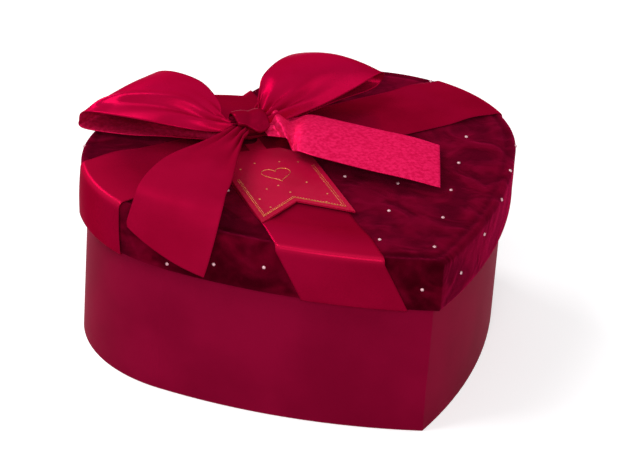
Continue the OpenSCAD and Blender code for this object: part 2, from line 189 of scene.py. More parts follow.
# %% [markdown]
# ## The heart's outline
# The box is two round lobes joined to two long, gently curved sides. Each layer, from the board to
# the ribbon, is the same outline moved out by a little. It could be drawn as a curve by hand, but
# an outline of two arcs for each half can be moved out exactly, and any place can be measured
# against it. These sizes repeat the CAD's.

# %% Sizes of the box
LOBE_R, LOBE_X = 61.5 * MM, 36 * MM
POINT_Y, SIDE_R = 113 * MM, 250 * MM
LID_IN, VELVET_OUT = 0.6 * MM, 3.7 * MM
PAD_Z, LID_TOP, LID_BOTTOM = 81.8 * MM, 84.6 * MM, 61.2 * MM
EDGE_ROUND = 2.6 * MM
TURN_IN_TOP = 74.0 * MM
FOLD_Z = LID_TOP - EDGE_ROUND
RIBBON_W = 40 * MM
KNOT = Vector((-22 * MM, 10 * MM))
KNOT_Z = 94.2 * MM
BOW_Z = 85.8 * MM

# The long side's arc meets the lobe smoothly and passes through the heart's point, so its centre is
# where two circles cross: one round the lobe's centre and one round the point
point_far = math.hypot(LOBE_X, POINT_Y)
centre_far = SIDE_R - LOBE_R
along = (centre_far**2 - SIDE_R**2 + point_far**2) / (2 * point_far)
across = math.sqrt(centre_far**2 - along**2)
SIDE_CX = LOBE_X - (along * LOBE_X + across * POINT_Y) / point_far
SIDE_CY = (across * LOBE_X - along * POINT_Y) / point_far
SEAM_ANGLE = math.atan2(-SIDE_CY, LOBE_X - SIDE_CX)
SEAM_Y = -LOBE_X * math.tan(SEAM_ANGLE)
print("the side's arc has its centre at", round(SIDE_CX / MM, 1), round(SIDE_CY / MM, 1), "mm")

# %% Measure and draw the outline


def arc_at(x, y):
    """Centre and radius of the arc nearest to a point of the right half."""
    if y - SEAM_Y > x * math.tan(SEAM_ANGLE):
        return LOBE_X, 0.0, LOBE_R
    return SIDE_CX, SIDE_CY, SIDE_R


def outside(x, y, off=0.0):
    """How far a point lies outside the outline that is moved out by off."""
    cx, cy, r = arc_at(abs(x), y)
    return math.hypot(abs(x) - cx, y - cy) - r - off


def outward(x, y):
    """Direction straight out of the outline at a point."""
    cx, cy, _ = arc_at(abs(x), y)
    out = Vector((abs(x) - cx, y - cy, 0)).normalized()
    return Vector((math.copysign(out.x, x) if x else out.x, out.y, 0))


def heart_line(off, lobe_steps, side_steps):
    """The closed outline moved out by off, from the notch round the right half and back."""
    r = LOBE_R + off
    first = math.acos(-LOBE_X / r)
    right = []
    for i in range(lobe_steps):
        a = first + (SEAM_ANGLE - first) * i / lobe_steps
        right.append((LOBE_X + r * math.cos(a), r * math.sin(a)))
    r = SIDE_R + off
    last = -math.acos(-SIDE_CX / r)
    for i in range(side_steps + 1):
        a = SEAM_ANGLE + (last - SEAM_ANGLE) * i / side_steps
        right.append((SIDE_CX + r * math.cos(a), SIDE_CY + r * math.sin(a)))
    right[0] = (0.0, right[0][1])
    right[-1] = (0.0, right[-1][1])
    return right + [(-x, y) for x, y in reversed(right[1:-1])]


outline = heart_line(0, 20, 20)
print("base is", round((max(p[0] for p in outline) * 2) / MM), "mm wide and",
      round((max(p[1] for p in outline) - min(p[1] for p in outline)) / MM), "mm long")

# %% [markdown]
# ## Colours
# Screen colours are written as they look and turned into the linear values that Blender's light
# calculation uses. The linear numbers could be written at once, but nobody can compare those with
# a picture.

# %% A colour helper


def screen(red, green, blue):
    """A colour as it looks on screen, from 0 to 255, as linear values."""
    def linear(c):
        c = c / 255
        return c / 12.92 if c <= 0.04045 else ((c + 0.055) / 1.055) ** 2.4
    return linear(red), linear(green), linear(blue), 1.0


print("wine red in linear values:", [round(c, 3) for c in screen(118, 4, 38)])

# %% [markdown]
# ## Shared effects
# Paper, card, velvet and satin all have soft cloudy patches, all ribbon has threads, and paper is a
# little rubbed at its edges. Each effect is a node group with named inputs, built once, and every
# material gives it its own values. The nodes could be copied from material to material instead, but
# then each change would have to be made many times over.

# %% Helpers for groups


def new_group(name, inputs, outputs):
    """A shader node group with named inputs (name, value) and outputs (name, kind)."""
    group = bpy.data.node_groups.new(name, "ShaderNodeTree")
    for label, value in inputs:
        kind = "NodeSocketColor" if isinstance(value, tuple) else "NodeSocketFloat"
        group.interface.new_socket(label, in_out="INPUT", socket_type=kind).default_value = value
    for label, kind in outputs:
        group.interface.new_socket(label, in_out="OUTPUT", socket_type=kind)
    return group, group.nodes.new("NodeGroupInput").outputs, group.nodes.new("NodeGroupOutput").inputs


def use(tree, group, links):
    """Places a shared group in a material with its own values."""
    return add(tree, "ShaderNodeGroup", links, node_tree=group)


def mix_colours(tree, share, first, second):
    """The colour at a share of the way from the first to the second. A Mix node that is set to
    colours has them in its sockets 6 and 7, and its result in output 2."""
    return add(tree, "ShaderNodeMix", {"Factor": share, 6: first, 7: second}, data_type="RGBA").outputs[2]


print("group helpers are ready")

# %% Cloudy patches between two colours
CLOUDS, given, result = new_group(
    "clouds",
    [("Dark", (0.1, 0.1, 0.1, 1)), ("Light", (0.5, 0.5, 0.5, 1)), ("Scale", 60.0), ("Detail", 4.0),
     ("Distortion", 0.0), ("Low", 0.35), ("High", 0.65)],
    [("Color", "NodeSocketColor"), ("Mask", "NodeSocketFloat")])
place = add(CLOUDS, "ShaderNodeTexCoord")
cloud = add(CLOUDS, "ShaderNodeTexNoise", {
    "Vector": place.outputs["Object"], "Scale": given["Scale"], "Detail": given["Detail"],
    "Distortion": given["Distortion"]})
mask = add(CLOUDS, "ShaderNodeMapRange", {
    "Value": cloud.outputs["Fac"], "From Min": given["Low"], "From Max": given["High"]},
    interpolation_type="SMOOTHSTEP")
tone = mix_colours(CLOUDS, mask.outputs[0], given["Dark"], given["Light"])
CLOUDS.links.new(tone, result["Color"])
CLOUDS.links.new(mask.outputs[0], result["Mask"])
print(CLOUDS.name, "has", len(CLOUDS.nodes), "nodes")

# %% Threads of a woven cloth
# They follow a UV map in metres, in which u runs across the ribbon and v along it
THREADS, given, result = new_group(
    "woven threads",
    [("Threads per metre across", 5000.0), ("Threads per metre along", 2500.0), ("Streak", 0.5)],
    [("Height", "NodeSocketFloat")])
uv = add(THREADS, "ShaderNodeUVMap", uv_map="cloth")
parts = add(THREADS, "ShaderNodeSeparateXYZ", {"Vector": uv.outputs[0]})
fine = calc(THREADS, "MULTIPLY", parts.outputs["X"], given["Threads per metre across"])
coarse = calc(THREADS, "MULTIPLY", parts.outputs["Y"], given["Threads per metre along"])
warp = calc(THREADS, "PINGPONG", fine, 1.0)
weft = calc(THREADS, "PINGPONG", coarse, 1.0)
stretched = add(THREADS, "ShaderNodeCombineXYZ", {"X": fine, "Y": parts.outputs["Y"]})
streaks = add(THREADS, "ShaderNodeTexNoise", {
    "Vector": stretched.outputs[0], "Scale": 0.35, "Detail": 3.0})
weave = calc(THREADS, "MULTIPLY", warp, weft)
height = calc(THREADS, "MULTIPLY_ADD", streaks.outputs["Fac"], given["Streak"], weave)
THREADS.links.new(height, result["Height"])
print(THREADS.name, "has", len(THREADS.nodes), "nodes")

# %% Wear along the upper and lower edges of a wall
# It is a mask that noise breaks up
EDGE_WEAR, given, result = new_group(
    "edge wear", [("Low edge", 0.0), ("High edge", 0.08), ("Width", 0.0012)],
    [("Mask", "NodeSocketFloat")])
place = add(EDGE_WEAR, "ShaderNodeTexCoord")
parts = add(EDGE_WEAR, "ShaderNodeSeparateXYZ", {"Vector": place.outputs["Object"]})
from_low = calc(EDGE_WEAR, "SUBTRACT", parts.outputs["Z"], given["Low edge"])
from_high = calc(EDGE_WEAR, "SUBTRACT", given["High edge"], parts.outputs["Z"])
near = calc(EDGE_WEAR, "MINIMUM", from_low, from_high)
rub = add(EDGE_WEAR, "ShaderNodeTexNoise", {
    "Vector": place.outputs["Object"], "Scale": 300.0, "Detail": 4.0})
reach = calc(EDGE_WEAR, "MULTIPLY", rub.outputs["Fac"], given["Width"])
worn = add(EDGE_WEAR, "ShaderNodeMapRange", {
    "Value": near, "From Min": 0.0, "From Max": reach, "To Min": 1.0, "To Max": 0.0})
EDGE_WEAR.links.new(worn.outputs[0], result["Mask"])
print(EDGE_WEAR.name, "has", len(EDGE_WEAR.nodes), "nodes")

# %% Relief and the last shader


def bump(tree, height, strength, distance, under=None):
    """The normal of a bump from a height, on top of another bump's normal where one is given."""
    links = {"Height": height, "Strength": strength, "Distance": distance}
    if under is not None:
        links["Normal"] = under
    return add(tree, "ShaderNodeBump", links).outputs[0]


def finish(tree, links):
    """The Principled shader and the output."""
    shader = add(tree, "ShaderNodeBsdfPrincipled", links)
    add(tree, "ShaderNodeOutputMaterial", {"Surface": shader.outputs[0]})


print("materials can be mixed")

# %% [markdown]
# ## Paper and board
# The base is wrapped in matte wine-red paper with a faint pressed grain. It has a soft haze, so the
# side that is seen at a slant looks greyer. Its edges are a little rubbed. The lining is smoother.
# Greyboard shows only where paper doesn't cover it, and has short fibres. Such a grain could be
# modelled, but it is less than a tenth of a millimetre high, so relief in the material is enough.

# %% Make the papers


def paper(name, dark, light, rough, grain, low_edge, high_edge, rubbed):
    """Matte paper with pores and fibres. Near the heights of its two edges it is rubbed."""
    material, tree = new_material(name)
    tone = use(tree, CLOUDS, {"Dark": dark, "Light": light, "Scale": 22.0, "Detail": 3.0,
                              "Low": 0.3, "High": 0.7})
    wear = use(tree, EDGE_WEAR, {"Low edge": low_edge, "High edge": high_edge, "Width": 1.6 * MM})
    shade = mix_colours(tree, wear.outputs["Mask"], tone.outputs["Color"], rubbed)
    place = add(tree, "ShaderNodeTexCoord")
    pores = add(tree, "ShaderNodeTexNoise", {
        "Vector": place.outputs["Object"], "Scale": 1400.0, "Detail": 4.0})
    fibres = add(tree, "ShaderNodeTexVoronoi", {"Vector": place.outputs["Object"], "Scale": 700.0})
    coarse = bump(tree, fibres.outputs["Distance"], grain * 0.5, 0.08 * MM)
    relief = bump(tree, pores.outputs["Fac"], grain, 0.06 * MM, coarse)
    sheen = add(tree, "ShaderNodeMapRange", {
        "Value": pores.outputs["Fac"], "To Min": rough - 0.06, "To Max": rough + 0.06})
    finish(tree, {"Base Color": shade, "Roughness": sheen.outputs[0], "Normal": relief,
                  "Specular IOR Level": 0.01, "Specular Tint": (1.0, 0.3, 0.5, 1)})
    return material


wine_paper = paper("wine paper", screen(118, 4, 38), screen(132, 7, 45), 0.55, 0.35,
                   0.0, 80 * MM, screen(152, 26, 62))
# The lining's edges are set far away, so it isn't rubbed anywhere
lining_paper = paper("lining paper", screen(150, 22, 44), screen(160, 28, 50), 0.7, 0.3,
                     -1.0, 1.0, screen(160, 28, 50))
print("papers:", wine_paper.name, "and", lining_paper.name)

# %% Make the board and the glue
greyboard, tree = new_material("greyboard")
tone = use(tree, CLOUDS, {"Dark": screen(150, 143, 132), "Light": screen(182, 176, 166), "Scale": 500.0,
                          "Detail": 6.0, "Distortion": 1.5, "Low": 0.3, "High": 0.7})
relief = bump(tree, tone.outputs["Mask"], 0.4, 0.1 * MM)
finish(tree, {"Base Color": tone.outputs["Color"], "Roughness": 0.9, "Normal": relief})

glue, tree = new_material("clear glue")
tone = use(tree, CLOUDS, {"Dark": screen(58, 6, 18), "Light": screen(78, 11, 26), "Scale": 300.0})
relief = bump(tree, tone.outputs["Mask"], 0.5, 0.3 * MM)
finish(tree, {"Base Color": tone.outputs["Color"], "Roughness": 0.4, "Normal": relief,
              "Specular IOR Level": 0.0})
print("also mixed:", greyboard.name, "and", glue.name)

# %% Dress the CAD's boards and papers


def dress(node, material):
    """Gives a CAD node its finish."""
    mesh = nodes[node].data
    mesh.materials.clear()
    mesh.materials.append(material)


for name in ("base_wall_left", "base_wall_right", "base_floor_board", "lid_rim_left", "lid_rim_right",
             "lid_top_board"):
    dress(name, greyboard)
for name in ("base_wrap", "base_bottom_sheet"):
    dress(name, wine_paper)
for name in ("base_lining_wall", "base_lining_floor", "lid_lining_top", "lid_lining_rim"):
    dress(name, lining_paper)
dress("bow_glue_pad", glue)
print("papers and boards are dressed")

# %% [markdown]
# ## Making cloth
# Velvet and ribbon are thin sheets. A ribbon could be a curve with a flat profile, but each of its
# cross-lines has to narrow, arch and crease by itself. So cloth is made as rows of points joined by
# small faces, with a UV map in metres so that its threads keep their size. Then it gets its thickness.

# %% A sheet from rows of points


def grid_sheet(name, rows, material, thickness, lift=0.0, close=False, other_face=None):
    """A sheet from rows of points. u of its UV map runs along a row and v from row to row, in metres."""
    count, width = len(rows), len(rows[0])
    verts = [tuple(p) for row in rows for p in row]
    last = count if close else count - 1
    faces = []
    for i in range(last):
        a, b = i * width, ((i + 1) % count) * width
        faces += [(a + j, a + j + 1, b + j + 1, b + j) for j in range(width - 1)]
    mesh = bpy.data.meshes.new(name)
    mesh.from_pydata(verts, [], faces)
    middle = width // 2
    v = [0.0]
    for i in range(last):
        v.append(v[-1] + (Vector(rows[(i + 1) % count][middle]) - Vector(rows[i][middle])).length)
    u = []
    for row in rows:
        steps = [0.0]
        for j in range(width - 1):
            steps.append(steps[-1] + (Vector(row[j + 1]) - Vector(row[j])).length)
        u.append(steps)
    cloth = mesh.uv_layers.new(name="cloth")
    corner = 0
    for i in range(last):
        n = (i + 1) % count
        for j in range(width - 1):
            for uv in ((u[i][j], v[i]), (u[i][j + 1], v[i]), (u[n][j + 1], v[i + 1]), (u[n][j], v[i + 1])):
                cloth.data[corner].uv = uv
                corner += 1
    return finish_sheet(mesh, material, thickness, lift, other_face), v[-1]


print("rows of points can become sheets")

# %% The thickness of a sheet


def finish_sheet(mesh, material, thickness, lift=0.0, other_face=None):
    """Gives a one-sided mesh its thickness: lift -1 is inwards, 1 outwards and 0 both ways. Cloth
    with a shiny and a dull face names the second one as other_face."""
    mesh.materials.append(material)
    if other_face:
        mesh.materials.append(other_face)
    print(mesh.name, "one face has", round(sum(f.area for f in mesh.polygons) * 1e6), "square mm")
    mesh.shade_smooth()
    piece = add_object(mesh.name, mesh)
    solid = piece.modifiers.new("thickness", "SOLIDIFY")
    solid.thickness = thickness
    solid.offset = lift
    solid.use_rim = True
    solid.material_offset = 1 if other_face else 0
    apply_modifiers(piece)
    return piece


def apply_modifiers(piece):
    """Turns a piece and its modifiers into one plain mesh."""
    graph = bpy.context.evaluated_depsgraph_get()
    mesh = bpy.data.meshes.new_from_object(piece.evaluated_get(graph), depsgraph=graph)
    mesh.name = piece.name
    piece.modifiers.clear()
    piece.data = mesh


print("sheets can get their thickness")

# %% Soft steps and waves


def ease(t):
    """0 below 0, 1 above 1 and a soft step between."""
    t = min(1.0, max(0.0, t))
    return t * t * (3 - 2 * t)


def waves(p):
    """Smooth uneven waves at a point, from -1 to 1. They are the same in each run."""
    return noise.noise(p, noise_basis="PERLIN_ORIGINAL")


print("halfway up a soft step:", ease(0.5))

# %% [markdown]
# ## Crushed velvet
# Crushed velvet is wetted and wrung, so its pile lies down in patches that point different ways.
# A patch that leans away looks nearly black, and one that leans towards the light shines wine-red.
# The wadding below makes the top slightly uneven, and the pulled cloth leaves a soft groove just
# inside the edge. The mesh carries those dents. The material paints shade into the groove, and
# paints the patches' light and dark tones and the thin bright creases between them as sheen; the
# pile's fuzz is a bump. Cloth simulation could pull the velvet over the lid, but it is glued tight
# there, so it is laid straight along the lid's own outline.

# %% Make the velvet's finish
velvet, tree = new_material("crushed velvet")
place = add(tree, "ShaderNodeTexCoord")
# The patches' dark and light tones are painted sheen: pile leaning away looks dark, pile leaning to the
# light bright
patches = use(tree, CLOUDS, {"Dark": screen(48, 0, 8), "Light": screen(98, 1, 25), "Scale": 46.0,
                             "Detail": 2.0, "Distortion": 1.2, "Low": 0.36, "High": 0.66})
small = use(tree, CLOUDS, {"Dark": screen(58, 0, 10), "Light": screen(98, 2, 26), "Scale": 150.0,
                           "Detail": 3.0, "Distortion": 0.5, "Low": 0.40, "High": 0.70})
pile = mix_colours(tree, 0.28, patches.outputs["Color"], small.outputs["Color"])
# The thin bright lines along the creases are a painted highlight
creases = add(tree, "ShaderNodeTexVoronoi", {
    "Vector": place.outputs["Object"], "Scale": 70.0, "Randomness": 1.0}, feature="DISTANCE_TO_EDGE")
crease = add(tree, "ShaderNodeMapRange", {
    "Value": creases.outputs["Distance"], "From Min": 0.0, "From Max": 0.14, "To Min": 0.16, "To Max": 0.0},
    interpolation_type="SMOOTHSTEP")
shine = calc(tree, "MULTIPLY", crease.outputs[0], patches.outputs["Mask"])
lit = mix_colours(tree, shine, pile, screen(128, 8, 44))
# The groove just inside the edge is darkened towards near-black: painted shade
pressed = add(tree, "ShaderNodeAttribute", attribute_name="pressed")
painted_groove_shade = calc(tree, "MULTIPLY", pressed.outputs["Fac"], 0.75)
shaded = mix_colours(tree, painted_groove_shade, lit, screen(34, 0, 5))
fuzz = add(tree, "ShaderNodeTexNoise", {"Vector": place.outputs["Object"], "Scale": 2600.0, "Detail": 3.0})
lean = bump(tree, patches.outputs["Mask"], 0.35, 0.9 * MM)
wrung = bump(tree, small.outputs["Mask"], 0.18, 0.4 * MM, lean)
nap = bump(tree, fuzz.outputs["Fac"], 0.4, 0.15 * MM, wrung)
finish(tree, {"Base Color": shaded, "Roughness": 0.75, "Normal": nap,
              "Specular IOR Level": 0.0, "Sheen Weight": 0.85, "Sheen Roughness": 0.4,
              "Sheen Tint": (0.62, 0.01, 0.09, 1)})
print("velvet is mixed")

# %% Dents of the velvet
VELVET_THICK = 0.5 * MM
GROOVE_IN, GROOVE_W = 4.6 * MM, 1.3 * MM
# Waves per metre of the wadding, of the crush marks and along the groove, and where two of them start
WADDING_WAVES, CRUSH_WAVES, GROOVE_WAVES = 42, 58, 60
CRUSH_START, GROOVE_START = Vector((3.1, 7.7, 1.9)), Vector((9.0, 2.0, 4.0))


def groove_at(x, y):
    """How much of the groove just inside the edge lies at a place, from 0 to 1."""
    inside = -outside(x, y, VELVET_OUT)
    return math.exp(-(((inside - GROOVE_IN) / GROOVE_W) ** 2))


def dent(x, y, z):
    """How far the velvet is pressed in at a place: crush marks, wadding and the groove by the edge."""
    on_top = ease((z - FOLD_Z) / EDGE_ROUND)
    p = Vector((x, y, z))
    soft = 0.5 + 0.5 * waves(p * WADDING_WAVES)
    wrung = abs(waves(p * CRUSH_WAVES + CRUSH_START))
    away_from_fold = min(1.0, wrung * 3.0)
    groove = groove_at(x, y) * (0.75 + 0.35 * waves(p * GROOVE_WAVES + GROOVE_START))
    top = 0.30 * soft + 0.14 * away_from_fold + 0.75 * groove
    rim = 0.10 * soft + 0.12 * away_from_fold
    return (rim + (top - rim) * on_top) * MM


print("deepest dent on a test line, in mm:",
      round(max(dent(x * MM, -30 * MM, LID_TOP) for x in range(-60, 60)) / MM, 2))

# %% The velvet's upright section
FOLD_ROWS, RIM_ROWS, TURN_IN_ROWS = 5, 13, 6
HEM_ROUND, HEM_BEVEL = 0.5 * MM, 0.15 * MM


def velvet_profile():
    """The velvet's outside from the start of the rounding to the end of its turn-in: offset, height
    and the outward direction in the upright plane."""
    rows = []
    for k in range(FOLD_ROWS + 1):
        a = math.pi / 2 * k / FOLD_ROWS
        rows.append((VELVET_OUT - EDGE_ROUND + EDGE_ROUND * math.sin(a),
                     FOLD_Z + EDGE_ROUND * math.cos(a), (math.sin(a), math.cos(a))))
    hem = LID_BOTTOM + HEM_ROUND
    for k in range(1, RIM_ROWS + 1):
        rows.append((VELVET_OUT, FOLD_Z + (hem - FOLD_Z) * k / RIM_ROWS, (1.0, 0.0)))
    rows += [(VELVET_OUT - HEM_BEVEL, LID_BOTTOM + HEM_BEVEL, (0.7, -0.7)),
             (VELVET_OUT - HEM_ROUND, LID_BOTTOM, (0.0, -1.0)),
             (LID_IN + HEM_ROUND, LID_BOTTOM, (0.0, -1.0)),
             (LID_IN + HEM_BEVEL, LID_BOTTOM + HEM_BEVEL, (-0.7, -0.7))]
    for k in range(1, TURN_IN_ROWS + 1):
        rows.append((LID_IN, hem + (TURN_IN_TOP - hem) * k / TURN_IN_ROWS, (-1.0, 0.0)))
    return rows


print("rows of the velvet's section:", len(velvet_profile()))

# %% Fill a heart-shaped top with faces
TOP_STEP = 1.5 * MM
TOP_FRONT, TOP_BACK, TOP_COLUMNS = -120 * MM, 70 * MM, 70
FREE_EDGE = 0.6 * TOP_STEP


def top_points(off):
    """Evenly spread points of the top, inside the outline that is moved out by off. Every second
    row is shifted by half a step, so that the faces between them are even triangles."""
    points = []
    row = 0
    y = TOP_FRONT
    while y < TOP_BACK:
        shift = TOP_STEP / 2 * (row % 2)
        points += [(k * TOP_STEP + shift, y) for k in range(-TOP_COLUMNS, TOP_COLUMNS + 1)
                   if outside(k * TOP_STEP + shift, y, off) < -FREE_EDGE]
        y += TOP_STEP * math.sqrt(3) / 2
        row += 1
    return points


def fill_top(verts, faces, ring, off, height):
    """Closes the top inside the mesh's first ring of verts with evenly spread points. height gives
    the z of a place."""
    flat = [(v[0], v[1]) for v in verts[:ring]] + top_points(off)
    edges = [(j, (j + 1) % ring) for j in range(ring)]
    points, _, tris, _, _, _ = geometry.delaunay_2d_cdt([Vector(p) for p in flat], edges, [], 1, 1e-7)
    base = len(verts) - ring
    verts += [Vector((p.x, p.y, height(p.x, p.y))) for p in points[ring:]]
    for tri in tris:
        a, b, c = (points[i] for i in tri)
        order = tri if (b - a).cross(c - a) > 0 else tri[::-1]
        faces.append(tuple(i if i < ring else i + base for i in order))


print("points in the velvet's top:", len(top_points(VELVET_OUT - EDGE_ROUND)))

# %% Lay the velvet over the lid
LOBE_STEPS, SIDE_STEPS = 118, 80
FLAT_HEM = 1.2 * MM


def velvet_mesh():
    """The section swept round the heart and closed by the top, all with its dents. The attribute
    pressed marks the groove, where the material darkens the velvet with painted shade."""
    profile = velvet_profile()
    verts, faces = [], []
    for row, (off, z, (out, up)) in enumerate(profile):
        for x, y in heart_line(off, LOBE_STEPS, SIDE_STEPS):
            way = outward(x, y) if x else Vector((0, math.copysign(1, y), 0))
            inward = dent(x, y, z) if z > LID_BOTTOM + FLAT_HEM and out >= 0 else 0.0
            verts.append(Vector((x, y, z)) - (way * out + Vector((0, 0, up))) * inward)
    ring = len(verts) // len(profile)
    for row in range(len(profile) - 1):
        for j in range(ring):
            n = (j + 1) % ring
            a, b = row * ring, (row + 1) * ring
            faces.append((a + j, a + n, b + n, b + j))
    fill_top(verts, faces, ring, VELVET_OUT - EDGE_ROUND, lambda x, y: LID_TOP - dent(x, y, LID_TOP))
    mesh = bpy.data.meshes.new("velvet_cover")
    mesh.from_pydata(verts, [], faces)
    pressed = mesh.attributes.new("pressed", "FLOAT", "POINT")
    for i, v in enumerate(mesh.vertices):
        on_top = ease((v.co.z - FOLD_Z) / EDGE_ROUND)
        pressed.data[i].value = on_top * groove_at(v.co.x, v.co.y)
    return mesh


velvet_cover = finish_sheet(velvet_mesh(), velvet, VELVET_THICK, -1.0)
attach(velvet_cover, "lid")
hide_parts("lid_velvet")
print("velvet has", len(velvet_cover.data.polygons), "faces")

# %% [markdown]
# ## Wadding
# A thin heart of white wadding lies between the top board and the velvet. It is hidden, but it is
# what gives the lid its soft look, and anyone who opens the velvet would find it. It is a low
# crowned pad, with a fibrous white finish. A plain slab could stand for it, but the velvet's dents
# would cut into that, so its top follows them.

# %% Mix the wadding's finish
wadding, tree = new_material("white wadding")
tone = use(tree, CLOUDS, {"Dark": screen(226, 223, 216), "Light": screen(246, 245, 240), "Scale": 400.0,
                          "Detail": 6.0, "Distortion": 2.0, "Low": 0.3, "High": 0.7})
relief = bump(tree, tone.outputs["Mask"], 0.8, 0.5 * MM)
finish(tree, {"Base Color": tone.outputs["Color"], "Roughness": 0.95, "Normal": relief})
print("mixed:", wadding.name)

# %% Make the wadding
PAD_CLEAR = 0.1 * MM
PAD_TOP_OFF = 1.1 * MM
# The rings down its side: how far each is moved out from the outline, and its height
PAD_SIDE = ((1.8 * MM, 83.45 * MM), (2.3 * MM, 82.8 * MM), (2.4 * MM, PAD_Z))


def pad_top(x, y):
    """Height of the pad's top at a place, just under the velvet."""
    return LID_TOP - VELVET_THICK - PAD_CLEAR - dent(x, y, LID_TOP)


def pad_mesh():
    """A thin heart: rings of the outline from its rounded top edge down, a filled top and bottom."""
    rings = [[(x, y, pad_top(x, y)) for x, y in heart_line(PAD_TOP_OFF, LOBE_STEPS, SIDE_STEPS)]]
    for off, z in PAD_SIDE:
        rings.append([(x, y, z) for x, y in heart_line(off, LOBE_STEPS, SIDE_STEPS)])
    ring = len(rings[0])
    verts = [Vector(p) for r in rings for p in r]
    faces = []
    for i in range(len(rings) - 1):
        for j in range(ring):
            n = (j + 1) % ring
            faces.append((i * ring + j, i * ring + n, (i + 1) * ring + n, (i + 1) * ring + j))
    last = (len(rings) - 1) * ring
    faces.append(tuple(last + j for j in range(ring)))
    fill_top(verts, faces, ring, PAD_TOP_OFF, pad_top)
    mesh = bpy.data.meshes.new("wadding_pad")
    mesh.from_pydata(verts, [], faces)
    mesh.materials.append(wadding)
    mesh.shade_smooth()
    return mesh


pad = add_object("wadding_pad", pad_mesh())
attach(pad, "lid")
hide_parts("lid_padding")
print("wadding is", round((pad_top(0, 0) - PAD_Z) / MM, 2), "mm thick in the middle")

# %% [markdown]
# ## Small bright dots
# The velvet is scattered with pearly dots in one even, slanted pattern that was there before the
# cloth was cut, so it runs on over the edge and down the rim. Each dome could be set by hand, but
# Geometry Nodes place them all from one list of points and one size, and turn them to face straight
# out.

# %% Work out the dots' places
DOT_ROOM = 2.0 * MM
DOT_STEP_A, DOT_STEP_B = 26.6 * MM, 23.2 * MM
DOT_ANGLE_A, DOT_ANGLE_B = math.radians(230), math.radians(-39)
DOT_FIRST = Vector((0.9 * LOBE_R, -0.69 * LOBE_R))
DOT_COPIES = 8
ROUND_RUN = math.pi / 2 * EDGE_ROUND
CROSS_ANGLE, AXIS_ANGLE = math.radians(2.5), math.radians(9.5)
CROSS_MID = KNOT + Vector((0, -3.5 * MM))
cross_way = Vector((math.cos(CROSS_ANGLE), math.sin(CROSS_ANGLE)))
axis_way = Vector((math.sin(AXIS_ANGLE), math.cos(AXIS_ANGLE)))


def bare(p):
    """True where no band covers the velvet."""
    off_cross = abs((p - CROSS_MID).cross(cross_way))
    off_axis = abs((p - KNOT).cross(axis_way))
    return min(off_cross, off_axis) > (RIBBON_W + DOT_ROOM) / 2


def folded(p):
    """Place and outward direction of a dot of the flat pattern on the folded velvet, or None."""
    past = outside(p.x, p.y, VELVET_OUT) + EDGE_ROUND
    if past > ROUND_RUN + FOLD_Z - LID_BOTTOM - DOT_ROOM:
        return None
    cx, cy, r = arc_at(abs(p.x), p.y)
    out = Vector((abs(p.x) - cx, p.y - cy)).normalized()
    tilt = math.pi / 2 * min(1.0, max(0.0, past / ROUND_RUN))
    far = r + VELVET_OUT - EDGE_ROUND + min(0.0, past) + EDGE_ROUND * math.sin(tilt)
    x = cx + out.x * far
    if x < DOT_ROOM:
        return None
    side = -1 if p.x < 0 else 1
    z = FOLD_Z - max(0.0, past - ROUND_RUN) + EDGE_ROUND * math.cos(tilt)
    way = Vector((side * out.x * math.sin(tilt), out.y * math.sin(tilt), math.cos(tilt)))
    spot = Vector((side * x, cy + out.y * far, z))
    return spot - way * dent(spot.x, spot.y, spot.z), way


step_a = Vector((math.cos(DOT_ANGLE_A), math.sin(DOT_ANGLE_A))) * DOT_STEP_A
step_b = Vector((math.cos(DOT_ANGLE_B), math.sin(DOT_ANGLE_B))) * DOT_STEP_B
dot_places = []
for i in range(-DOT_COPIES, DOT_COPIES + 1):
    for j in range(-DOT_COPIES, DOT_COPIES + 1):
        p = DOT_FIRST + step_a * i + step_b * j
        found = folded(p) if bare(p) else None
        if found:
            dot_places.append(found)
print("dots:", len(dot_places))

# %% Mix the pearl
pearl, tree = new_material("pearl dots")
tone = use(tree, CLOUDS, {"Dark": screen(222, 166, 176), "Light": screen(246, 204, 211), "Scale": 900.0})
# The pearls' darker rim, where they turn away from the camera, is painted shade
turned = add(tree, "ShaderNodeLayerWeight", {"Blend": 0.55})
rim = mix_colours(tree, turned.outputs["Facing"], tone.outputs["Color"], screen(136, 40, 66))
finish(tree, {"Base Color": rim, "Roughness": 0.22, "Coat Weight": 0.4, "Coat Roughness": 0.1})
print("mixed:", pearl.name)

# %% Helpers for Geometry Nodes


def new_geometry_tree(name, inputs):
    """A geometry tree with a mesh input and output and named inputs (name, kind)."""
    tree = bpy.data.node_groups.new(name, "GeometryNodeTree")
    tree.interface.new_socket("Geometry", in_out="INPUT", socket_type="NodeSocketGeometry")
    for label, kind in inputs:
        tree.interface.new_socket(label, in_out="INPUT", socket_type=kind)
    tree.interface.new_socket("Geometry", in_out="OUTPUT", socket_type="NodeSocketGeometry")
    return tree, tree.nodes.new("NodeGroupInput").outputs, tree.nodes.new("NodeGroupOutput").inputs


def grow(piece, tree, values):
    """Runs a geometry tree on a piece with values by input name, and keeps the plain mesh."""
    modifier = piece.modifiers.new(tree.name, "NODES")
    modifier.node_group = tree
    for socket in tree.interface.items_tree:
        if socket.item_type == "SOCKET" and socket.in_out == "INPUT" and socket.name in values:
            modifier[socket.identifier] = values[socket.name]
    apply_modifiers(piece)


print("geometry helpers are ready")

# %% Grow a dome on each place
DOT_D, DOT_H = 1.6 * MM, 0.6 * MM

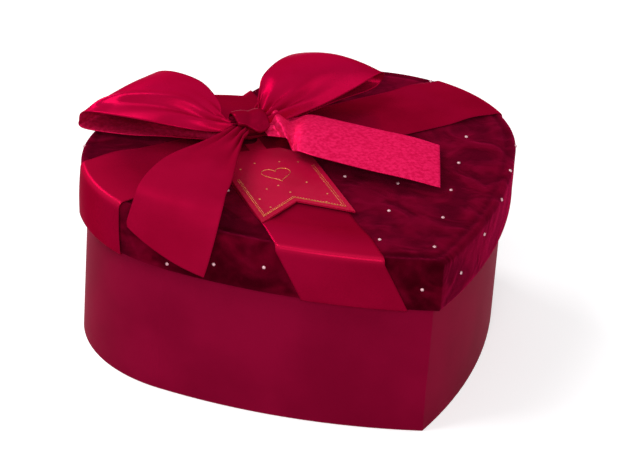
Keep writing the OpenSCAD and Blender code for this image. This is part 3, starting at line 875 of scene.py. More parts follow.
dots_tree, given, result = new_geometry_tree(
    "pearl dots", [("Diameter", "NodeSocketFloat"), ("Height", "NodeSocketFloat"),
                   ("Material", "NodeSocketMaterial")])
ball = add(dots_tree, "GeometryNodeMeshUVSphere", {"Segments": 16, "Rings": 10, "Radius": 1.0})
radius = calc(dots_tree, "MULTIPLY", given["Diameter"], 0.5)
size = add(dots_tree, "ShaderNodeCombineXYZ", {"X": radius, "Y": radius, "Z": given["Height"]})
facing = add(dots_tree, "GeometryNodeInputNamedAttribute", {"Name": "facing"}, data_type="FLOAT_VECTOR")
turn = add(dots_tree, "FunctionNodeAlignRotationToVector", {"Vector": facing.outputs[0]}, axis="Z")
spread = add(dots_tree, "GeometryNodeInstanceOnPoints", {
    "Points": given["Geometry"], "Instance": ball.outputs["Mesh"], "Rotation": turn.outputs[0],
    "Scale": size.outputs[0]})
real = add(dots_tree, "GeometryNodeRealizeInstances", {0: spread.outputs[0]})
smooth = add(dots_tree, "GeometryNodeSetShadeSmooth", {0: real.outputs[0]})
coloured = add(dots_tree, "GeometryNodeSetMaterial", {0: smooth.outputs[0], "Material": given["Material"]})
dots_tree.links.new(coloured.outputs[0], result[0])


def grow_domes(name, places, diameter, height, material):
    """One piece of small domes. Each place is a point and the way its dome faces."""
    mesh = bpy.data.meshes.new(name)
    mesh.from_pydata([spot for spot, _ in places], [], [])
    facing = mesh.attributes.new("facing", "FLOAT_VECTOR", "POINT")
    for i, (_, way) in enumerate(places):
        facing.data[i].vector = way
    piece = add_object(name, mesh)
    grow(piece, dots_tree, {"Diameter": diameter, "Height": height, "Material": material})
    return piece


pearl_dots = grow_domes("pearl_dots", dot_places, DOT_D, DOT_H, pearl)
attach(pearl_dots, "lid")
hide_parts("velvet_dots")
print("dot faces:", len(pearl_dots.data.polygons))

# %% [markdown]
# ## Satin ribbon
# Satin's threads float over many others, so light slides along them: a fold has one long bright
# line and the rest stays deep crimson. A plain glossy red would look like plastic. So the shader's
# shine is stretched across the threads, and very fine threads and faint streaks break it. The ribbon
# has a shiny and a dull face. The shiny face's brighter, pinker colour is painted sheen; the tail on
# the right shows it, with its fine grain, and the left loop shows it inside, darkened with painted
# shade.

# %% Mix the satin
# The tone of the painted highlight along the bands' bends
FOLD_HIGHLIGHT_TONE = screen(216, 20, 68)


def satin(name, dark, light, rough, mottle, metal, directed=0.85):
    """Satin of two close tones in patches of a scale (mottle). directed is how far its shine follows
    the threads, and the attribute painted fold highlight mixes in a painted highlight."""
    material, tree = new_material(name)
    tone = use(tree, CLOUDS, {"Dark": dark, "Light": light, "Scale": mottle, "Detail": 4.0,
                              "Low": 0.3, "High": 0.7})
    threads = use(tree, THREADS, {"Threads per metre across": 4200.0, "Threads per metre along": 2600.0,
                                  "Streak": 0.8})
    relief = bump(tree, threads.outputs["Height"], 0.18, 0.05 * MM)
    gloss = add(tree, "ShaderNodeMapRange", {"Value": tone.outputs["Mask"], "To Min": rough + 0.05,
                                             "To Max": rough - 0.05})
    along = add(tree, "ShaderNodeTangent", direction_type="UV_MAP", uv_map="cloth")
    fold_highlight = add(tree, "ShaderNodeAttribute", attribute_name="painted fold highlight")
    colour = mix_colours(tree, fold_highlight.outputs["Fac"], tone.outputs["Color"], FOLD_HIGHLIGHT_TONE)
    finish(tree, {"Base Color": colour, "Roughness": gloss.outputs[0], "Normal": relief,
                  "Metallic": metal, "Anisotropic": directed, "Tangent": along.outputs[0],
                  "Specular IOR Level": 0.0, "Specular Tint": (1.0, 0.34, 0.44, 1)})
    return material


satin_red = satin("crimson satin", screen(154, 3, 44), screen(170, 6, 54), 0.30, 30.0, 0.40)
satin_deep = satin("crimson satin band", screen(124, 2, 34), screen(138, 4, 41), 0.27, 26.0, 0.30, 0.7)
satin_dull = satin("crimson satin, dull face", screen(140, 3, 39), screen(154, 6, 47),
                   0.5, 24.0, 0.15, 0.5)
# The shiny face: satin with a brighter colour that is painted sheen
satin_shiny_painted_sheen = satin("crimson satin, shiny face, painted sheen", screen(202, 16, 69), screen(234, 33, 93),
                     0.36, 640.0, 0.28)
# The shiny face's painted sheen, darkened with painted shade for the inside of the left loop
satin_inner_painted_shade = satin("crimson satin, inner face with painted shade", screen(158, 10, 50), screen(192, 21, 70),
                    0.36, 640.0, 0.28)
# The same satin darkened with painted shade for the core inside the knot
satin_core_painted_shade = satin("crimson satin, painted shade in the knot", screen(74, 0, 18), screen(92, 2, 26),
                   0.5, 60.0, 0.1, 0.5)
print("satin is mixed")

# %% [markdown]
# ## The two bands
# Each band is pulled straight over the lid, folds over the edge and runs straight on down the rim,
# so it leans to one side where it meets the edge at a slant. Its ends are tucked under the lid's
# lower edge. A flat strip could be bent over the edge, but this edge is round and meets each thread
# at another place. So every long thread is followed by itself: over the top, round the edge where it
# meets the outline, and down. Stiff ribbon swells a little before the bend. A painted highlight lies
# along the bend, and a broader, fainter one on the ends at the left and in front.

# %% Follow the threads of a band
BAND_LIFT = 0.12 * MM
SEARCH_STEP = 1.0 * MM
SEARCH_HALVINGS = 30
# Past 2 the bend is fuller than a quarter of a circle
FOLD_POWER = 2.4
BAND_FOLD_STEPS, BAND_RIM_STEPS, BAND_TOP_STEPS = 10, 14, 90
RIM_STAND = 0.35 * MM
TUCKS, TUCK_DROP = (0.0 * MM, 1.2 * MM, 2.4 * MM), 0.25 * MM


def first_exit(start, way, off):
    """Where a line from inside leaves the outline that is moved out by off."""
    near, far = 0.0, SEARCH_STEP
    while outside(*(start + way * far), off) < 0:
        near, far = far, far + SEARCH_STEP
    for _ in range(SEARCH_HALVINGS):
        mid = (near + far) / 2
        if outside(*(start + way * mid), off) < 0:
            near = mid
        else:
            far = mid
    return start + way * far


def band_end(mid, way, column, slant):
    """Points of one thread from the fold's start to its tucked end. column is the thread's place
    across the band, and slant how far it moves aside for each step down the rim."""
    aside = Vector((-way.y, way.x))
    points = []
    r = EDGE_ROUND + BAND_LIFT
    for k in range(BAND_FOLD_STEPS + 1):
        a = math.pi / 2 * k / BAND_FOLD_STEPS
        tight = (math.sin(a) ** FOLD_POWER + math.cos(a) ** FOLD_POWER) ** (-1 / FOLD_POWER)
        p = first_exit(mid + aside * column, way, VELVET_OUT - EDGE_ROUND + r * tight * math.sin(a))
        points.append(Vector((p.x, p.y, FOLD_Z + r * tight * math.cos(a))))
    depth = FOLD_Z - LID_BOTTOM
    for k in range(1, BAND_RIM_STEPS + 1):
        down = depth * k / BAND_RIM_STEPS
        stand = RIM_STAND * math.sin(math.pi * k / BAND_RIM_STEPS)
        p = first_exit(mid + aside * (column + down * slant), way, VELVET_OUT + BAND_LIFT + stand)
        points.append(Vector((p.x, p.y, FOLD_Z - down)))
    for tuck in TUCKS:
        p = first_exit(mid + aside * (column + depth * slant), way, VELVET_OUT - tuck)
        points.append(Vector((p.x, p.y, LID_BOTTOM - TUCK_DROP)))
    return points


print("points in one end of a thread:", len(band_end(CROSS_MID, cross_way, 0.0, 0.0)))

# %% Lay a whole band out in rows
BAND_COLUMNS = 33
SWELL, SWELL_RUN = 1.0 * MM, 28 * MM
RIPPLE_WAVES, RIPPLE_FADE = 22, 8 * MM
STEP_UP, STEP_RUN = 0.6 * MM, 4 * MM


def band_rows(mid, way, step_over=None):
    """Rows of points of a whole band, from one tucked end to the other."""
    ends = []
    for heading in (way, -way):
        fold = first_exit(mid, heading, VELVET_OUT)
        facing = outward(fold.x, fold.y).xy
        lean = facing.cross(heading)
        ends.append((heading, lean))
    columns = []
    for j in range(BAND_COLUMNS):
        column = RIBBON_W * (j / (BAND_COLUMNS - 1) - 0.5)
        head = band_end(mid, ends[0][0], column, ends[0][1])
        tail = band_end(mid, ends[1][0], -column, ends[1][1])
        run = (tail[0] - head[0]).length
        top = []
        for k in range(1, BAND_TOP_STEPS):
            p = head[0].lerp(tail[0], k / BAND_TOP_STEPS)
            away = min(k, BAND_TOP_STEPS - k) / BAND_TOP_STEPS * run
            z = LID_TOP + BAND_LIFT
            ripple = waves(Vector((p.x * RIPPLE_WAVES, p.y * RIPPLE_WAVES, 1.0 + mid.y * 40)))
            z += (0.12 + 0.18 * ripple) * MM * ease(away / RIPPLE_FADE)
            z += SWELL * math.sin(math.pi * min(1.0, away / SWELL_RUN)) ** 2
            if step_over:
                z += step_over(p)
            top.append(Vector((p.x, p.y, z)))
        columns.append(head[::-1] + top + tail)
    return [list(row) for row in zip(*columns)]


def over_cross(p):
    """The long band climbs over the cross band."""
    off = abs((p.xy - CROSS_MID).cross(cross_way)) - RIBBON_W / 2
    return STEP_UP * (1 - ease((off + 0.5 * MM) / STEP_RUN))


print("rows in the cross band:", len(band_rows(CROSS_MID, cross_way)))

# %% Lay the two bands
BAND_THICK = 0.4 * MM
# The bend's line runs a little in from the edge's corner
BEND_IN = 0.3 * EDGE_ROUND
# Width and share of the painted highlight along the bend, and on the left and front ends
BEND_LINE, BEND_HIGHLIGHT = 1.5 * MM, 0.60
END_HIGHLIGHT_RUN, END_HIGHLIGHT = 12 * MM, 0.24


def paint_fold_highlight(band):
    """Marks a painted highlight where the ribbon is bent over the edge. The two ends at the left and
    in front also get a broader, fainter painted highlight some way in from the edge."""
    fold_highlight = band.data.attributes.new("painted fold highlight", "FLOAT", "POINT")
    for i, v in enumerate(band.data.vertices):
        off = outside(v.co.x, v.co.y, VELVET_OUT) + BEND_IN
        down = LID_TOP - BEND_IN - v.co.z
        away = math.hypot(off, down)
        line = BEND_HIGHLIGHT * math.exp(-((away / BEND_LINE) ** 2))
        # Only the ends at the left and in front get the broader painted highlight
        pulled = down < 0 and v.co.x + v.co.y < 0
        end_highlight = END_HIGHLIGHT * math.exp(-((away / END_HIGHLIGHT_RUN) ** 2)) if pulled else 0.0
        fold_highlight.data[i].value = max(line, end_highlight)


def lay_band(name, node, mid, way, step_over=None):
    """Makes a band of ribbon that lies on the lid in place of its CAD node."""
    band, length = grid_sheet(name, band_rows(mid, way, step_over), satin_deep, BAND_THICK, 1.0)
    paint_fold_highlight(band)
    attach(band, "lid")
    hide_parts(node)
    print(name, "is", round(length / MM), "mm long")


lay_band("cross_ribbon", "cross_band", CROSS_MID, cross_way)
lay_band("axis_ribbon", "axis_band", KNOT, axis_way, over_cross)

# %% [markdown]
# ## Loops and tails
# Each loop and tail is one run of the same 40 mm ribbon, gathered into pleats at the knot and
# opening out to its full width. A table gives its middle line and how wide, turned and arched it is
# along the way, and a smooth curve through the rows makes the surface. The pleats are deepest at the
# knot and fade as the ribbon opens. Cloth simulation could drape such a bow, but its knot and pleats
# set its shape, and a table can be corrected against the photograph row by row.

# %% Smooth curves and soft folds
ROW_STEPS = 12


def blend_rows(a, b, c, d, t):
    """A smooth curve from b to c."""
    return [(2 * q + (r - p) * t + (2 * p - 5 * q + 4 * r - s) * t**2 + (3 * q - p - 3 * r + s) * t**3) / 2
            for p, q, r, s in zip(a, b, c, d)]


def smooth_rows(rows):
    """The table's rows with smooth steps between them."""
    before = [2 * p - q for p, q in zip(rows[0], rows[1])]
    after = [2 * p - q for p, q in zip(rows[-1], rows[-2])]
    ends = [before, *rows, after]
    line = []
    for i in range(len(rows) - 1):
        line += [blend_rows(*ends[i:i + 4], k / ROW_STEPS) for k in range(ROW_STEPS)]
    return line + [list(rows[-1])]


def fold_lift(folds, s, u):
    """Height of the soft folds at share s of the run and place u across it. A fold goes from
    (s, u) to (s, u) and holds its height and its half width."""
    lift = 0.0
    for s_from, u_from, s_to, u_to, height, half_width in folds:
        t = (s - s_from) / (s_to - s_from)
        if 0 < t < 1:
            off = (u - u_from - (u_to - u_from) * t) / half_width
            lift += height * math.sin(math.pi * t) * math.exp(-off * off)
    return lift


print("smooth steps from one row of a table to the next:", ROW_STEPS)

# %% Shape a ribbon from a table
RIBBON_CELLS = 44
PLEATS, PLEAT_DRIFT = 1.75, 0.12
UNEVEN = 0.008


def ribbon_rows(start, heading, length, table, pleat_depth, seed, folds=()):
    """Points of a ribbon. A row of the table holds: along, back and up as shares of the length,
    width as a share of the ribbon, roll and yaw in degrees, crown as a share of the ribbon, and
    the degrees by which the crown leans ahead."""
    ahead = Vector((math.cos(heading), math.sin(heading), 0))
    back = Vector((-ahead.y, ahead.x, 0)) * (-1 if ahead.x < 0 else 1)
    rows = []
    line = smooth_rows(table)
    for i, (along, aside, height, width, roll, yaw, crown, pitch) in enumerate(line):
        s = i / (len(line) - 1)
        roll, yaw, pitch = (math.radians(a) for a in (roll, yaw, pitch))
        level = back * math.cos(yaw) + ahead * math.sin(yaw)
        across = level * math.cos(roll) + Vector((0, 0, math.sin(roll)))
        square_up = Vector((0, 0, math.cos(roll))) - level * math.sin(roll)
        up = square_up * math.cos(pitch) + ahead * math.sin(pitch)
        middle = start + (ahead * along + back * aside + Vector((0, 0, height))) * length
        gathered = max(0.0, 1 - width) ** 2.0
        row = []
        for j in range(RIBBON_CELLS + 1):
            u = 2 * j / RIBBON_CELLS - 1
            pleat = math.cos(2 * math.pi * PLEATS * (u + PLEAT_DRIFT * math.sin(seed + 3 * u)) + seed)
            rest = waves(Vector((u * 1.7 + seed, along * 2.2 + height * 3, seed)))
            lift = RIBBON_W * (crown * (1 - u * u) + pleat_depth * gathered * pleat + UNEVEN * rest)
            lift += fold_lift(folds, s, u) * MM
            row.append(middle + across * (u * width * RIBBON_W / 2) + up * lift)
        rows.append(row)
    return rows


print("cells across a ribbon:", RIBBON_CELLS)

# %% Where the ribbons meet the knot
CORE_LEN, ARM_GAP = 17.4 * MM, 0.4 * MM
KNOT_DEPTH = 17 * MM
# The neck's distance from the knot's middle, how much of its own y and z a row keeps there, and how
# far it is drawn together
NECK_X, NECK_KEEP_Y, NECK_KEEP_Z, NECK_SQUEEZE = 4.5 * MM, 0.55, 0.75, 0.15


def into_knot(row, depth):
    """A copy of a ribbon's first or last row, moved some way into the knot and drawn together."""
    side = -1 if row[0].x < KNOT.x else 1
    middle = sum(row, Vector()) / len(row)
    goal = Vector((KNOT.x + side * NECK_X, KNOT.y + (middle.y - KNOT.y) * NECK_KEEP_Y,
                   KNOT_Z + (middle.z - KNOT_Z) * NECK_KEEP_Z))
    return [p + (goal - middle) * depth + (middle - p) * NECK_SQUEEZE * depth for p in row]


def first_exit_far(start, heading, off):
    """Distance along a heading from a point to the outline that is moved out by off."""
    way = Vector((math.cos(heading), math.sin(heading)))
    return (first_exit(start, way, off) - start).length


def arm_start(side, back_share):
    """Where a loop or tail leaves the core. It starts a little inside, so that no gap shows."""
    return Vector((KNOT.x + side * (CORE_LEN / 2 + ARM_GAP), KNOT.y + back_share * KNOT_DEPTH, BOW_Z))


print("ribbons leave the knot", round((arm_start(1, 0).x - KNOT.x) / MM, 1), "mm from its middle")

# %% The tables of the two loops
LOOP_LEFT = [
    [0.00, 0.00, 0.160, 0.28, 0, 54, 0.02, 0],
    [0.15, 0.00, 0.198, 0.48, 16, 4, 0.05, 0],
    [0.45, 0.00, 0.258, 0.84, 14, -14, 0.10, 0],
    [0.75, 0.00, 0.262, 1.00, 13, -20, 0.09, 0],
    [0.97, 0.00, 0.225, 1.06, 11, -24, 0.04, 0],
    [1.01, 0.00, 0.140, 1.08, 10, -24, 0.00, 0],
    [0.97, 0.00, 0.062, 1.06, 9, -24, 0.00, 0],
    [0.65, 0.01, 0.046, 0.92, 5, -20, 0.01, 0],
    [0.35, 0.03, 0.052, 0.60, 3, -6, 0.01, 0],
    [0.00, 0.00, 0.085, 0.28, 0, 54, 0.01, 0],
]
LOOP_RIGHT = [
    [0.00, 0.00, 0.155, 0.28, 0, 27, 0.02, 0],
    [0.12, 0.00, 0.208, 0.43, 14, 0, 0.08, 0],
    [0.35, -0.02, 0.262, 0.74, 17, -18, 0.14, 0],
    [0.65, -0.04, 0.292, 0.90, 15, -24, 0.145, 0],
    [0.94, -0.06, 0.288, 0.95, 8, -26, 0.11, 0],
    [1.02, -0.06, 0.206, 0.95, 2, -26, 0.02, 0],
    [0.95, -0.03, 0.098, 0.91, -1, -26, 0.00, 0],
    [0.65, 0.09, 0.056, 0.76, 0, -22, 0.01, 0],
    [0.30, 0.10, 0.055, 0.48, 0, -8, 0.01, 0],
    [0.00, 0.02, 0.080, 0.28, 0, 27, 0.01, 0],
]
LOOP_LEFT_FOLDS = [(0.14, 0.02, 0.50, -0.75, 2.3, 0.14), (0.06, -0.14, 0.36, -0.60, -2.3, 0.22),
                   (0.05, 0.45, 0.30, 0.60, -0.9, 0.25)]
LOOP_RIGHT_FOLDS = [(0.02, -0.35, 0.28, -0.55, -0.9, 0.25), (0.02, 0.25, 0.30, 0.45, -0.7, 0.25),
                    (0.10, 0.0, 0.44, -0.25, 0.7, 0.35)]
print("rows in the loops' tables:", len(LOOP_LEFT), "and", len(LOOP_RIGHT))

# %% The tables of the two tails
TAIL_RIGHT = [
    [0.00, 0.014, 0.100, 0.48, 5, -40, 0.03, 0],
    [0.045, 0.006, 0.132, 0.62, 8, -30, 0.03, 0],
    [0.12, -0.002, 0.078, 0.72, 3, -16, 0.04, 0],
    [0.20, -0.006, 0.102, 0.84, 3, -6, 0.05, 0],
    [0.34, -0.010, 0.092, 0.93, 1, -2, 0.04, 0],
    [0.60, -0.010, 0.070, 0.99, 0, -4, 0.03, 0],
    [0.82, -0.006, 0.055, 1.01, 0, -8, 0.03, 0],
    [1.00, 0.000, 0.030, 1.02, 0, -12, 0.02, 0],
]
TAIL_LEFT = [
    [0.000, 0.000, 0.127, 0.26, 0, -39, 0.02, 0],
    [0.224, 0.010, 0.132, 0.46, 0, -20, 0.03, 0],
    [0.550, 0.020, 0.138, 0.87, 0, -20, 0.02, 0],
    [0.740, 0.020, 0.136, 0.95, 0, -12, 0.02, 10],
    [0.915, 0.000, 0.118, 0.98, 0, -2, 0.05, 35],
    [0.990, 0.000, 0.022, 1.00, 2, -4, 0.08, 75],
    [1.002, 0.028, -0.125, 1.02, 8, -7, 0.09, 90],
    [0.997, 0.045, -0.225, 1.00, 18, -8, 0.09, 90],
]
TAIL_LEFT_FOLDS = [(0.0, -0.35, 0.36, -0.50, -1.2, 0.25), (0.0, 0.40, 0.42, 0.55, -1.0, 0.28)]
TAIL_RIGHT_FOLDS = [(-0.05, -0.55, 0.20, -0.60, -0.8, 0.25), (-0.02, 0.70, 0.22, 0.80, 1.2, 0.25)]
print("rows in the tails' tables:", len(TAIL_LEFT), "and", len(TAIL_RIGHT))

# %% Tie the loops and tails
RIBBON_THICK = 0.35 * MM
LEFT_TAIL_START = arm_start(-1, -0.41)
LEFT_TAIL_HEADING = math.radians(219)
left_reach = first_exit_far(LEFT_TAIL_START.xy, LEFT_TAIL_HEADING, VELVET_OUT)
ARMS = {
    # piece: CAD node, start, heading, length, table, folds, pleat depth, seed, the two faces, held
    "left_loop": ("bow_loop_left", arm_start(-1, 0.12), math.radians(126), 54 * MM, LOOP_LEFT,
                  LOOP_LEFT_FOLDS, 0.095, 0.4, satin_red, satin_inner_painted_shade, "folded"),
    "right_loop": ("bow_loop_right", arm_start(1, 0.12), math.radians(27), 58 * MM, LOOP_RIGHT,
                   LOOP_RIGHT_FOLDS, 0.118, 2.0, satin_red, satin_red, "folded"),
    "right_tail": ("bow_tail_right", arm_start(1, -0.29), math.radians(-44), 76 * MM, TAIL_RIGHT,
                   TAIL_RIGHT_FOLDS, 0.02, 1.2, satin_red, satin_shiny_painted_sheen, "laid"),
    "left_tail": ("bow_tail_left", LEFT_TAIL_START, LEFT_TAIL_HEADING, left_reach, TAIL_LEFT,
                  TAIL_LEFT_FOLDS, 0.06, 3.1, satin_dull, satin_shiny_painted_sheen, "hung"),
}
for name, (node, start, heading, length, table, folds, depth, seed, face, other, held) in ARMS.items():
    rows = ribbon_rows(start, heading, length, table, depth, seed, folds)
    rows = [into_knot(rows[0], k / 3) for k in (3, 2, 1)] + rows
    if held == "folded":
        rows += [into_knot(rows[-1], k / 3) for k in (1, 2, 3)]
    arm, run = grid_sheet(name, rows, face, RIBBON_THICK, 0.0, other_face=other)
    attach(arm, "lid")
    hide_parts(node)
    print(name, "uses", round(run / MM), "mm of ribbon")

# %% [markdown]
# ## The knot
# The knot is the same ribbon folded in three across and wrapped once round the gathered middle. Its
# layers show at its sides. A slight twist and pinch keep it from looking like a pipe. Inside it is
# the gathered ribbon itself, a bundle of sharp pleats. A real knot could be tied by simulation, but
# only its outside shows, so a wrap with a lip, a groove and a ridge in it is enough.

# %% The wrap's rows
KNOT_W, KNOT_H = 15 * MM, 14 * MM
KNOT_LAYERS, LAYER_STEP_IN, LAYER_NARROWER = 3, 0.4, 0.3 * MM
KNOT_TURN_STEPS, KNOT_CELLS = 72, 90
KNOT_TWIST = math.radians(-13)


def turned_about_knot(p):
    """The knot sits a little askew on the lid."""
    off = p.xy - KNOT
    off.rotate(Matrix.Rotation(KNOT_TWIST, 2))
    return Vector((KNOT.x + off.x, KNOT.y + off.y, p.z))


def knot_rows():
    """Rows round the knot, from its top over the back and the bottom; each row runs across the
    ribbon's three folded layers. At the front the wrap rolls into a lip above a hollow."""
    rows = []
    for i in range(KNOT_TURN_STEPS):
        a = 2 * math.pi * i / KNOT_TURN_STEPS
        front = max(0.0, -math.sin(a))
        low = 0.5 - 0.5 * math.cos(a)
        row = []
        for j in range(KNOT_CELLS + 1):
            share = j / KNOT_CELLS * KNOT_LAYERS
            layer = min(KNOT_LAYERS - 1, int(share))
            t = share - layer
            u = (2 * t - 1) * (1 if layer % 2 == 0 else -1)
            inner = KNOT_LAYERS - 1 - layer
            half = KNOT_W / 2 * (1 - 0.16 * low) - 0.15 * MM - LAYER_NARROWER * inner
            turned = ease((abs(u) - 0.9) / 0.1) * 0.5
            if t > 0.5 and inner:
                inner -= turned
            if t < 0.5 and layer:
                inner += turned
            lip_at = math.pi * (1.60 - 0.10 * math.sin(2.6 * u + 0.5))
            lip = math.exp(-(((a - lip_at - 0.08) / 0.16) ** 2))
            hollow = ease((lip_at - a) / 0.22) * ease((a - 1.05 * math.pi) / 0.5)
            groove = math.exp(-(((u + 0.35 - 0.45 * math.sin(a + 1.1)) / 0.22) ** 2))
            ridge = math.exp(-(((u - 0.40 - 0.35 * math.sin(a + 0.9)) / 0.25) ** 2))
            r_in = (0.7 + LAYER_STEP_IN * inner - 0.6 * lip + 3.3 * hollow + 0.5 * groove
                    - 0.45 * ridge + 0.8 * u**6) * MM
            ry, rz = KNOT_DEPTH / 2 - r_in, KNOT_H / 2 - r_in
            x = KNOT.x + u * half + (0.7 * front - 0.2) * MM
            y, z = KNOT.y + ry * math.sin(a), KNOT_Z + rz * math.cos(a)
            row.append(turned_about_knot(Vector((x, y, z))))
        rows.append(row)
    return rows


print("rows round the knot:", KNOT_TURN_STEPS)

# %% Wrap the knot
KNOT_THICK = 0.22 * MM
knot, run = grid_sheet("knot_wrap", knot_rows(), satin_deep, KNOT_THICK, 0.0, close=True)
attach(knot, "lid")
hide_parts("bow_knot")
print("knot takes", round(run / MM), "mm of ribbon")

# %% Gather the ribbon inside the knot
CORE_PLEATS, PLEAT_STEPS, CORE_CELLS = 15, 8, 12
CORE_THICK, CORE_CLEAR, CORE_SHORTER = 0.2 * MM, 1.3 * MM, 0.6 * MM


def core_rows():
    """A bundle of pleats: rows lie along the knot, points go round in a zigzag."""
    rows = []
    count = CORE_PLEATS * PLEAT_STEPS
    for i in range(count):
        a = 2 * math.pi * i / count
        wave = 0.5 + 0.5 * math.cos(CORE_PLEATS * a)
        row = []
        for j in range(CORE_CELLS + 1):
            x = j / CORE_CELLS - 0.5
            deep = 0.75 + 0.2 * math.sin(5 * a + 6 * x)
            share = 0.84 - 0.20 * abs(2 * x) ** 3 - deep * 0.42 * (1 - wave)
            share -= 0.26 * math.exp(-(((a - 1.42 * math.pi) / 0.55) ** 2) - (2.2 * x) ** 2)
            y = KNOT.y + share * (KNOT_DEPTH / 2 - CORE_CLEAR) * math.sin(a)
            z = KNOT_Z + share * (KNOT_H / 2 - CORE_CLEAR) * math.cos(a)
            row.append(turned_about_knot(Vector((KNOT.x + x * (CORE_LEN - CORE_SHORTER), y, z))))
        rows.append(row)
    return rows


# The core's near-black satin is painted shade
core, run = grid_sheet("gathered_core", core_rows(), satin_core_painted_shade, CORE_THICK, 0.0, close=True)
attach(core, "lid")
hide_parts("bow_core")
print("core takes", round(run / MM), "mm across its pleats")

# %% [markdown]
# ## The card tag
# The tag is thick crimson card. A thin gold foil line follows its edges, with a row of foil beads
# inside it, a few specks, and a small heart drawn in one line. Foil could be a second colour in the
# card's material, but it is pressed on as a film, so it is a separate thin shape that catches its own
# light. Geometry Nodes sweep a flat bar along each line, and set the beads as they set the dots.

# %% Finish the card
card, tree = new_material("crimson card")
tone = use(tree, CLOUDS, {"Dark": screen(165, 7, 46), "Light": screen(180, 13, 55), "Scale": 45.0,
                          "Detail": 3.0, "Low": 0.3, "High": 0.7})
place = add(tree, "ShaderNodeTexCoord")
pores = add(tree, "ShaderNodeTexNoise", {"Vector": place.outputs["Object"], "Scale": 2200.0, "Detail": 3.0})
relief = bump(tree, pores.outputs["Fac"], 0.25, 0.05 * MM)
finish(tree, {"Base Color": tone.outputs["Color"], "Roughness": 0.42, "Normal": relief,
              "Specular IOR Level": 0.02, "Specular Tint": (1.0, 0.4, 0.5, 1)})
dress("tag_card", card)
dress("tag_tab", card)

foil, tree = new_material("gold foil")
tone = use(tree, CLOUDS, {"Dark": screen(196, 128, 60), "Light": screen(226, 168, 92), "Scale": 500.0})
finish(tree, {"Base Color": tone.outputs["Color"], "Roughness": 0.32, "Metallic": 0.7})
print("the card and its tab are dressed")

# %% The card's plane and its border
TAG_W, TAG_LEN, TAG_NOTCH, TAG_CORNER = 42 * MM, 64 * MM, 15 * MM, 11 * MM
TAG_ANGLE = math.radians(10)
CREASE = KNOT + Vector((0, -0.56 * KNOT_DEPTH))
CREASE_GAP = 0.4 * MM
TAG_THICK = 0.8 * MM
TAG_TOP = BOW_Z + TAG_THICK
# How far the foil climbs up the card's left and right side
BORDER_LEFT, BORDER_RIGHT = 0.72, 0.84


def on_tag(x, y, z=0.0):
    """A point of the card's own plane, with its crease along x, in the frame."""
    y -= CREASE_GAP
    return Vector((CREASE.x + x * math.cos(TAG_ANGLE) + y * math.sin(TAG_ANGLE),
                   CREASE.y - x * math.sin(TAG_ANGLE) + y * math.cos(TAG_ANGLE), TAG_TOP + z))


def tag_border(inset):
    """The card's outline moved in, from its lower left tip round to its lower right tip."""
    w, down = TAG_W / 2, TAG_LEN
    corners = [(-w, -down), (-w, -TAG_CORNER), (-w + TAG_CORNER, 0), (w - TAG_CORNER, 0),
               (w, -TAG_CORNER), (w, -down), (0, -down + TAG_NOTCH)]
    lines = []
    for (ax, ay), (bx, by) in zip(corners, corners[1:] + corners[:1]):
        way = Vector((bx - ax, by - ay)).normalized()
        inward = Vector((way.y, -way.x))
        lines.append((Vector((ax, ay)) + inward * inset, way))
    inner = []
    for (p, d), (q, e) in zip(lines[-1:] + lines[:-1], lines):
        share = (q - p).cross(e) / d.cross(e)
        inner.append(p + d * share)
    return inner


def border_run(inset):
    """The border's open run: up part of the left side, round the swallowtail, up part of the right."""
    c = tag_border(inset)
    left_tip, left_up, right_up, right_tip, notch = c[0], c[1], c[4], c[5], c[6]
    return [left_tip.lerp(left_up, BORDER_LEFT), left_tip, notch, right_tip,
            right_tip.lerp(right_up, BORDER_RIGHT)]


print("card corners:", len(tag_border(0.0)))

# %% Press the foil lines on
FOIL_INSET, FOIL_W, FOIL_T = 2.4 * MM, 0.32 * MM, 0.06 * MM
HEART_MID, HEART_SIZE, HEART_STEPS = Vector((0.0, -24 * MM)), 6.5 * MM, 48

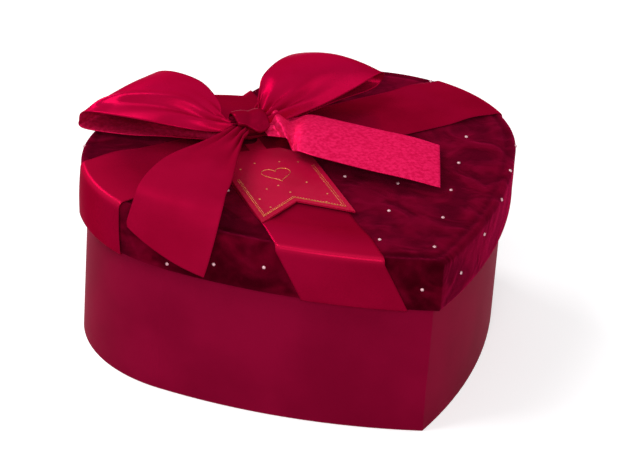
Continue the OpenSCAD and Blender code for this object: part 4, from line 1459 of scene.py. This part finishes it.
border_tree, given, result = new_geometry_tree(
    "foil line", [("Width", "NodeSocketFloat"), ("Thickness", "NodeSocketFloat"),
                  ("Material", "NodeSocketMaterial")])
line = add(border_tree, "GeometryNodeMeshToCurve", {0: given["Geometry"]})
bar = add(border_tree, "GeometryNodeCurvePrimitiveQuadrilateral", {
    "Width": given["Thickness"], "Height": given["Width"]})
swept = add(border_tree, "GeometryNodeCurveToMesh", {
    "Curve": line.outputs[0], "Profile Curve": bar.outputs[0], "Fill Caps": True})
coloured = add(border_tree, "GeometryNodeSetMaterial", {0: swept.outputs[0], "Material": given["Material"]})
border_tree.links.new(coloured.outputs[0], result[0])


def foil_line(name, points, closed):
    """A raised foil line through points in the card's plane."""
    mesh = bpy.data.meshes.new(name)
    count = len(points)
    edges = [(i, (i + 1) % count) for i in range(count if closed else count - 1)]
    mesh.from_pydata([on_tag(p.x, p.y, FOIL_T / 2) for p in points], edges, [])
    piece = add_object(name, mesh)
    grow(piece, border_tree, {"Width": FOIL_W, "Thickness": FOIL_T, "Material": foil})
    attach(piece, "tag")


foil_line("foil_border", border_run(FOIL_INSET), False)
heart = []
for k in range(HEART_STEPS):
    t = 2 * math.pi * k / HEART_STEPS
    up = (13 * math.cos(t) - 5 * math.cos(2 * t) - 2 * math.cos(3 * t) - math.cos(4 * t)) / 16
    heart.append(HEART_MID + Vector((math.sin(t) ** 3, up)) * HEART_SIZE)
foil_line("foil_heart", heart, True)
print("points in the foil heart:", len(heart))

# %% Scatter the foil specks and beads
SPECKS = [(-14, -16), (13, -15), (-9, -36), (10, -34), (-15, -44), (0, -41), (15, -46), (-13, -52),
          (12, -53), (-3, -34), (5, -13), (-6, -12)]
SPECK_D, BEAD_D = 0.8 * MM, 0.5 * MM
BEAD_INSET, BEAD_STEP = 3.3 * MM, 1.25 * MM


def beads_along(points, step):
    """Places at even steps along an open run of straight lines."""
    places, left = [], 0.0
    for p, q in zip(points, points[1:]):
        run = (q - p).length
        while left < run:
            places.append(p.lerp(q, left / run))
            left += step
        left -= run
    return places


specks = [Vector((x * MM, y * MM)) for x, y in SPECKS]
beads = beads_along(border_run(BEAD_INSET), BEAD_STEP)
for name, places, size in (("foil_specks", specks, SPECK_D), ("foil_beads", beads, BEAD_D)):
    facing_up = [(on_tag(p.x, p.y), (0, 0, 1)) for p in places]
    piece = grow_domes(name, facing_up, size, FOIL_T, foil)
    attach(piece, "tag")
print("beads in the border:", len(beads))
